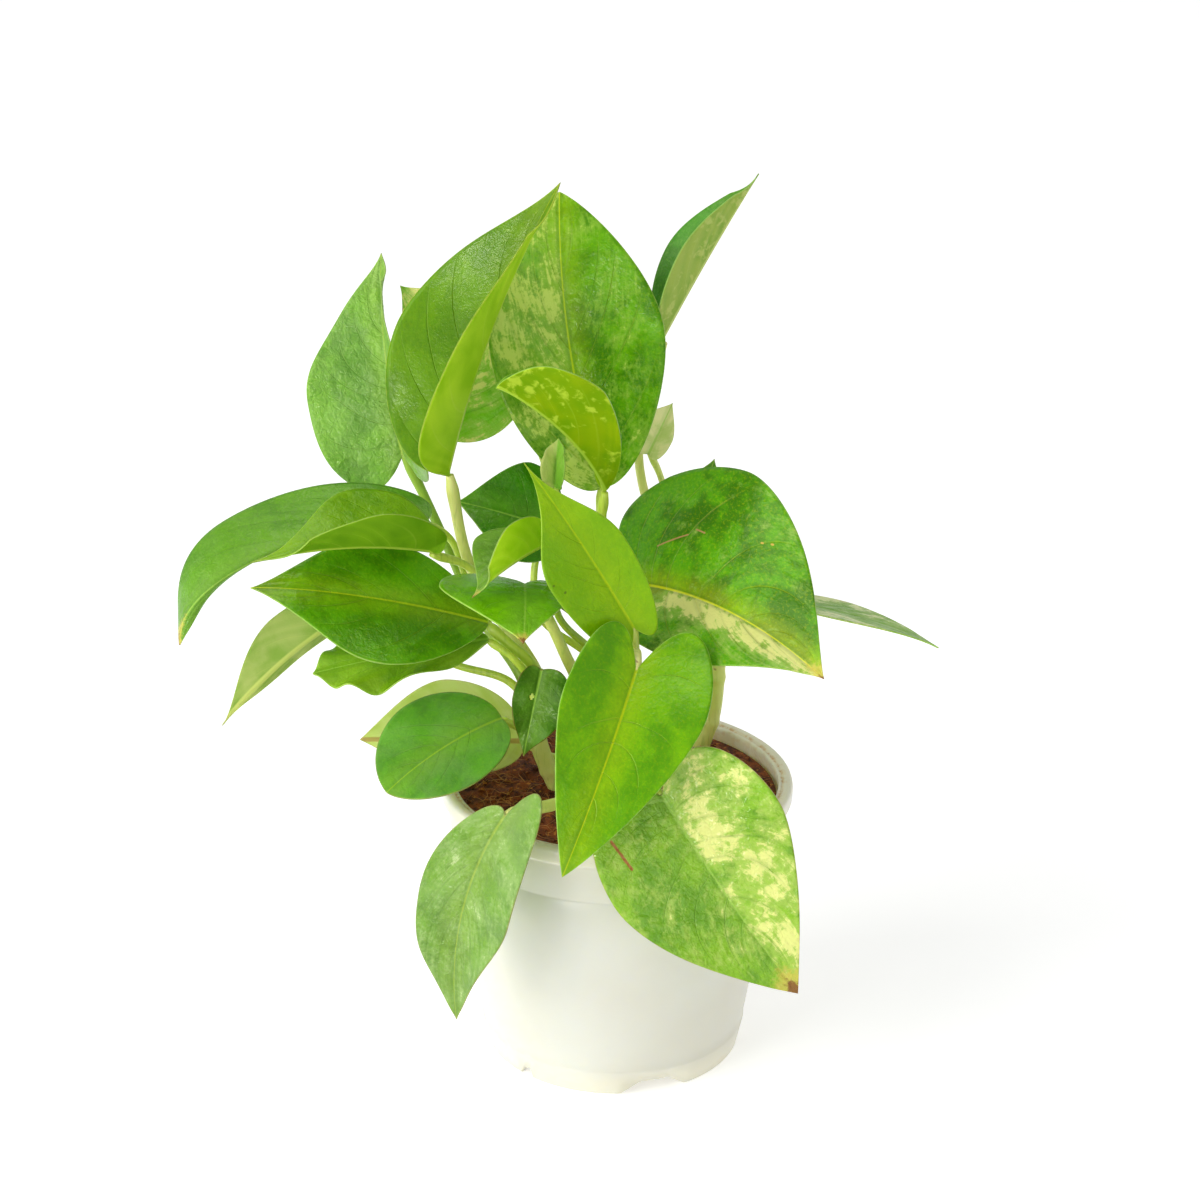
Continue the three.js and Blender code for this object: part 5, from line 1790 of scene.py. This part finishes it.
STEMS = [
    Stem("stem_left", ((-16, -2, 72), (-18, -2, 84), (-24, -3, 101), (-24, -3, 114)), (3, 2.6), (
        Stalk("leaf_top_left", (-23, -3, 108),
              ((-24, -3, 122), (-31, -1, 134), (-39, 1, 144), (-46, 1, 160)), 1.7, 0.85),
        Stalk("leaf_left_large", (-23, -3, 106),
              ((-22, -4, 119), (-27, -6, 129), (-33, -7, 135)), 1.6, 0.35),
        Stalk("leaf_upper_left", (-24, -3, 108),
              ((-30, 3, 121), (-43, 13, 136), (-54, 22, 157), (-61, 28, 170)), 1.5, 0.2),
        Stalk("leaf_far_left", (-24, -3, 109),
              ((-28, 2, 120), (-38, 6, 133), (-46, 9, 148), (-51, 8, 162)), 1.1, 0.4),
        Stalk("leaf_far_left_under", (-24, -3, 108),
              ((-28, 1, 125), (-36, 2, 143), (-45, -2, 157)), 1.2, 0.6),
        Stalk("leaf_left_turned", (-24, -2, 108),
              ((-33, -1, 120), (-50, -2, 126), (-69, -5, 138)), 1.1, 0.6),
        Stalk("leaf_left_wavy", (-23, -4, 106), ((-25, -7, 120), (-31, -10, 131)), 1.1, 0.5),
        Stalk("leaf_ragged_small", (-23, -4, 108), ((-21, -7, 119),), 1.0, 0.5),
        Stalk("leaf_low_left", (-23, -3, 98), ((-28, -4, 105),), 1.3, 0.6),
    ), tone=0.8),
    Stem("stem_centre", ((-8, 8, 72), (-8, 8, 84), (-7, 7, 102), (-8, 4, 116)), (2.6, 2.2), (
        Stalk("leaf_dark_middle", (-8, 5, 110), ((-15, -4, 128), (-22, -10, 146)), 1.7, 0.75),
    )),
    Stem("stem_middle", ((4, 14, 72), (4, 14, 84), (5, 14, 104), (3, 12, 122)), (3, 2.6), (
        Stalk("leaf_top_middle", (3, 12, 118), ((-4, 17, 141), (-6, 19, 164)), 1.6, 0.5),
        Stalk("leaf_turned_middle", (3, 12, 117), ((-4, 12, 140), (-7, 8, 159)), 1.4, 0.5),
        Stalk("leaf_young_small", (3, 12, 118), ((-6, 11, 142), (-16, 9, 166)), 0.9, 0.5),
        Stalk("leaf_young_bright", (3, 11, 115), ((4, 0, 124), (5, -14, 132)), 1.5, 0.7),
        Stalk("leaf_inner_right", (3, 12, 119), ((-5, 9, 137),), 1.0, 0.5),
        Stalk("leaf_front_middle", (3, 11, 113), ((5, 0, 124), (5, -14, 131), (5, -25, 140)), 1.6, 0.95),
        Stalk("leaf_right_large", (4, 13, 118), ((5, 18, 134),), 1.6, 0.6),
        Stalk("leaf_inner_left", (3, 12, 114), ((-11, 8, 127), (-24, 7, 138), (-26, 11, 152)), 1.1, 0.6),
        Stalk("leaf_inner_upper", (3, 13, 118),
              ((-8, 18, 146), (-20, 24, 172), (-26, 29, 187)), 1.3, 0.6),
        Stalk("leaf_folded_middle", (3, 11, 116),
              ((-9, 5, 129), (-18, -1, 141), (-20, -6, 155)), 1.1, 0.3),
    )),
    Stem("stem_right", ((25, 30, 72), (26, 30, 84), (29.5, 30, 97), (31, 30, 120)), (3.2, 2.8), (
        Stalk("leaf_right_inner", (31, 30, 114), ((30, 41, 124), (24, 48, 132)), 1.1, 0.6),
        Stalk("leaf_top_right", (31, 30, 116),
              ((21, 36, 134), (10, 38, 158), (5, 37, 180), (8, 33, 204)), 1.4, 0.85),
        Stalk("leaf_small_right", (31, 30, 115), ((22, 37, 138), (14, 38, 166), (11, 35, 176)), 1.0, 0.8),
        Stalk("leaf_far_right", (31, 29, 115), ((34, 25, 129), (40, 17, 138)), 1.4, 0.6),
    ), tone=0.75),
    Stem("stem_front", ((-2, -24, 72), (-2, -24, 84), (-2, -25, 94)), (2.6, 2.2), (
        Stalk("leaf_front_right", (-2, -25, 89), ((0, -32, 101), (7, -40, 106)), 1.5, 0.6),
        Stalk("leaf_front_left", (-2, -25, 88), ((-8, -35, 98), (-20, -45, 100)), 1.8, 0.8),
    )),
    Stem("stem_low_left", ((-15, 14, 72), (-15, 13, 84), (-17, 8, 93)), (2.4, 2), (
        Stalk("leaf_low_left_under", (-16, 10, 89), ((-22, 5, 93),), 1.2, 0.7),
    )),
]


# ---------------------------------------------------------------- studio
@dataclass(frozen=True)
class Softbox:
    """A rectangular area light, as tall as it is wide unless tall says more.

    With sheen_only it shows in gloss and lights nothing else. Places and sizes in metres.
    """

    name: str
    place: Point
    aim: Point
    size: float
    power: float
    tall: float = 0.0
    sheen_only: bool = False

    def build(self) -> None:
        """Adds the light."""
        data = bpy.data.lights.new(self.name, "AREA")
        data.shape = "RECTANGLE"
        data.size = self.size
        data.size_y = self.tall or self.size
        data.energy = self.power
        light = bpy.data.objects.new(self.name, data)
        light.location = self.place
        light.visible_diffuse = not self.sheen_only
        direction = Vector(self.aim) - Vector(self.place)
        light.rotation_euler = direction.to_track_quat("-Z", "Y").to_euler()
        bpy.context.scene.collection.objects.link(light)


@dataclass
class Studio:
    """The camera, the pale floor and the soft lights. Angles in degrees, places in metres."""

    camera_place: Point = (0.0, -0.729, 0.436)
    pitch: float = 21.65
    yaw: float = -0.47
    roll: float = 0.82
    focal_px: float = 2623.0
    frame_px: float = 1200.0
    sensor: float = 36.0
    floor_half: float = 6.0
    world: float = 0.62
    glow: float = 0.34
    lights: tuple = (
        Softbox("key_left", (-2.1, -1.3, 1.2), (0, 0, 0.15), 2.2, 56.0),
        Softbox("strip_front", (0.5, -2.2, 0.5), (0, 0, 0.2), 2.0, 13.0, 0.9, sheen_only=True),
        Softbox("card_front_left", (-1.05, -2.1, 0.08), (0, 0, 0.22), 0.5, 15.0, 0.12, sheen_only=True),
        Softbox("reflector_top", (0.1, 0.1, 2.0), (0, 0, 0.1), 1.0, 12.0, sheen_only=True),
    )

    def build(self) -> None:
        """Builds the studio, camera first."""
        self.camera()
        self.floor()
        for light in self.lights:
            light.build()
        world = bpy.data.worlds.new("studio_white")
        world.use_nodes = True
        backdrop = world.node_tree.nodes["Background"]
        backdrop.inputs["Color"].default_value = linear("FFFFFF")
        backdrop.inputs["Strength"].default_value = self.world
        scene = bpy.context.scene
        scene.world = world
        scene.view_settings.view_transform = "Standard"

    def camera(self) -> None:
        """The camera at the photograph's viewing angle."""
        data = bpy.data.cameras.new("camera")
        data.sensor_width = self.sensor
        data.lens = self.focal_px / self.frame_px * self.sensor
        data.clip_start = 0.05
        camera = bpy.data.objects.new("camera", data)
        camera.location = self.camera_place
        pitch, yaw, roll = (math.radians(a) for a in (self.pitch, self.yaw, self.roll))
        look = Vector((math.sin(yaw) * math.cos(pitch), math.cos(yaw) * math.cos(pitch), -math.sin(pitch)))
        turn = look.to_track_quat("-Z", "Y").to_matrix() @ Matrix.Rotation(roll, 3, "Z")
        camera.rotation_euler = turn.to_euler()
        scene = bpy.context.scene
        scene.collection.objects.link(camera)
        scene.camera = camera

    def floor(self) -> None:
        """The plain pale floor."""
        mesh = bmesh.new()
        bmesh.ops.create_grid(mesh, x_segments=1, y_segments=1, size=self.floor_half)
        data = bpy.data.meshes.new("floor")
        mesh.to_mesh(data)
        mesh.free()
        g = new_graph("floor_paper_white")
        g.surface(
            Base_Color=linear("FBFBFB"), Roughness=0.9, Emission_Color=linear("FFFFFF"),
            Emission_Strength=self.glow,
        )
        data.materials.append(g.material)
        floor = bpy.data.objects.new("floor", data)
        bpy.context.scene.collection.objects.link(floor)


def main() -> None:
    """Builds the studio, the pot, the soil, the stems and the leaves in order."""
    logging.basicConfig(level=logging.INFO, format="%(name)s %(message)s")
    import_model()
    Studio().build()
    pot = Pot()
    pot.build(MouldedPolypropylene())
    Soil(pot).build(DampCoir(), DryFibre())
    skin = FleshyStalk().build()
    by_name = {leaf.name: leaf for leaf in LEAVES}
    for stem in STEMS:
        stem.leaves = by_name
        stem.build(skin)
    for leaf in LEAVES:
        leaf.build()


if __name__ == "__main__":
    main()
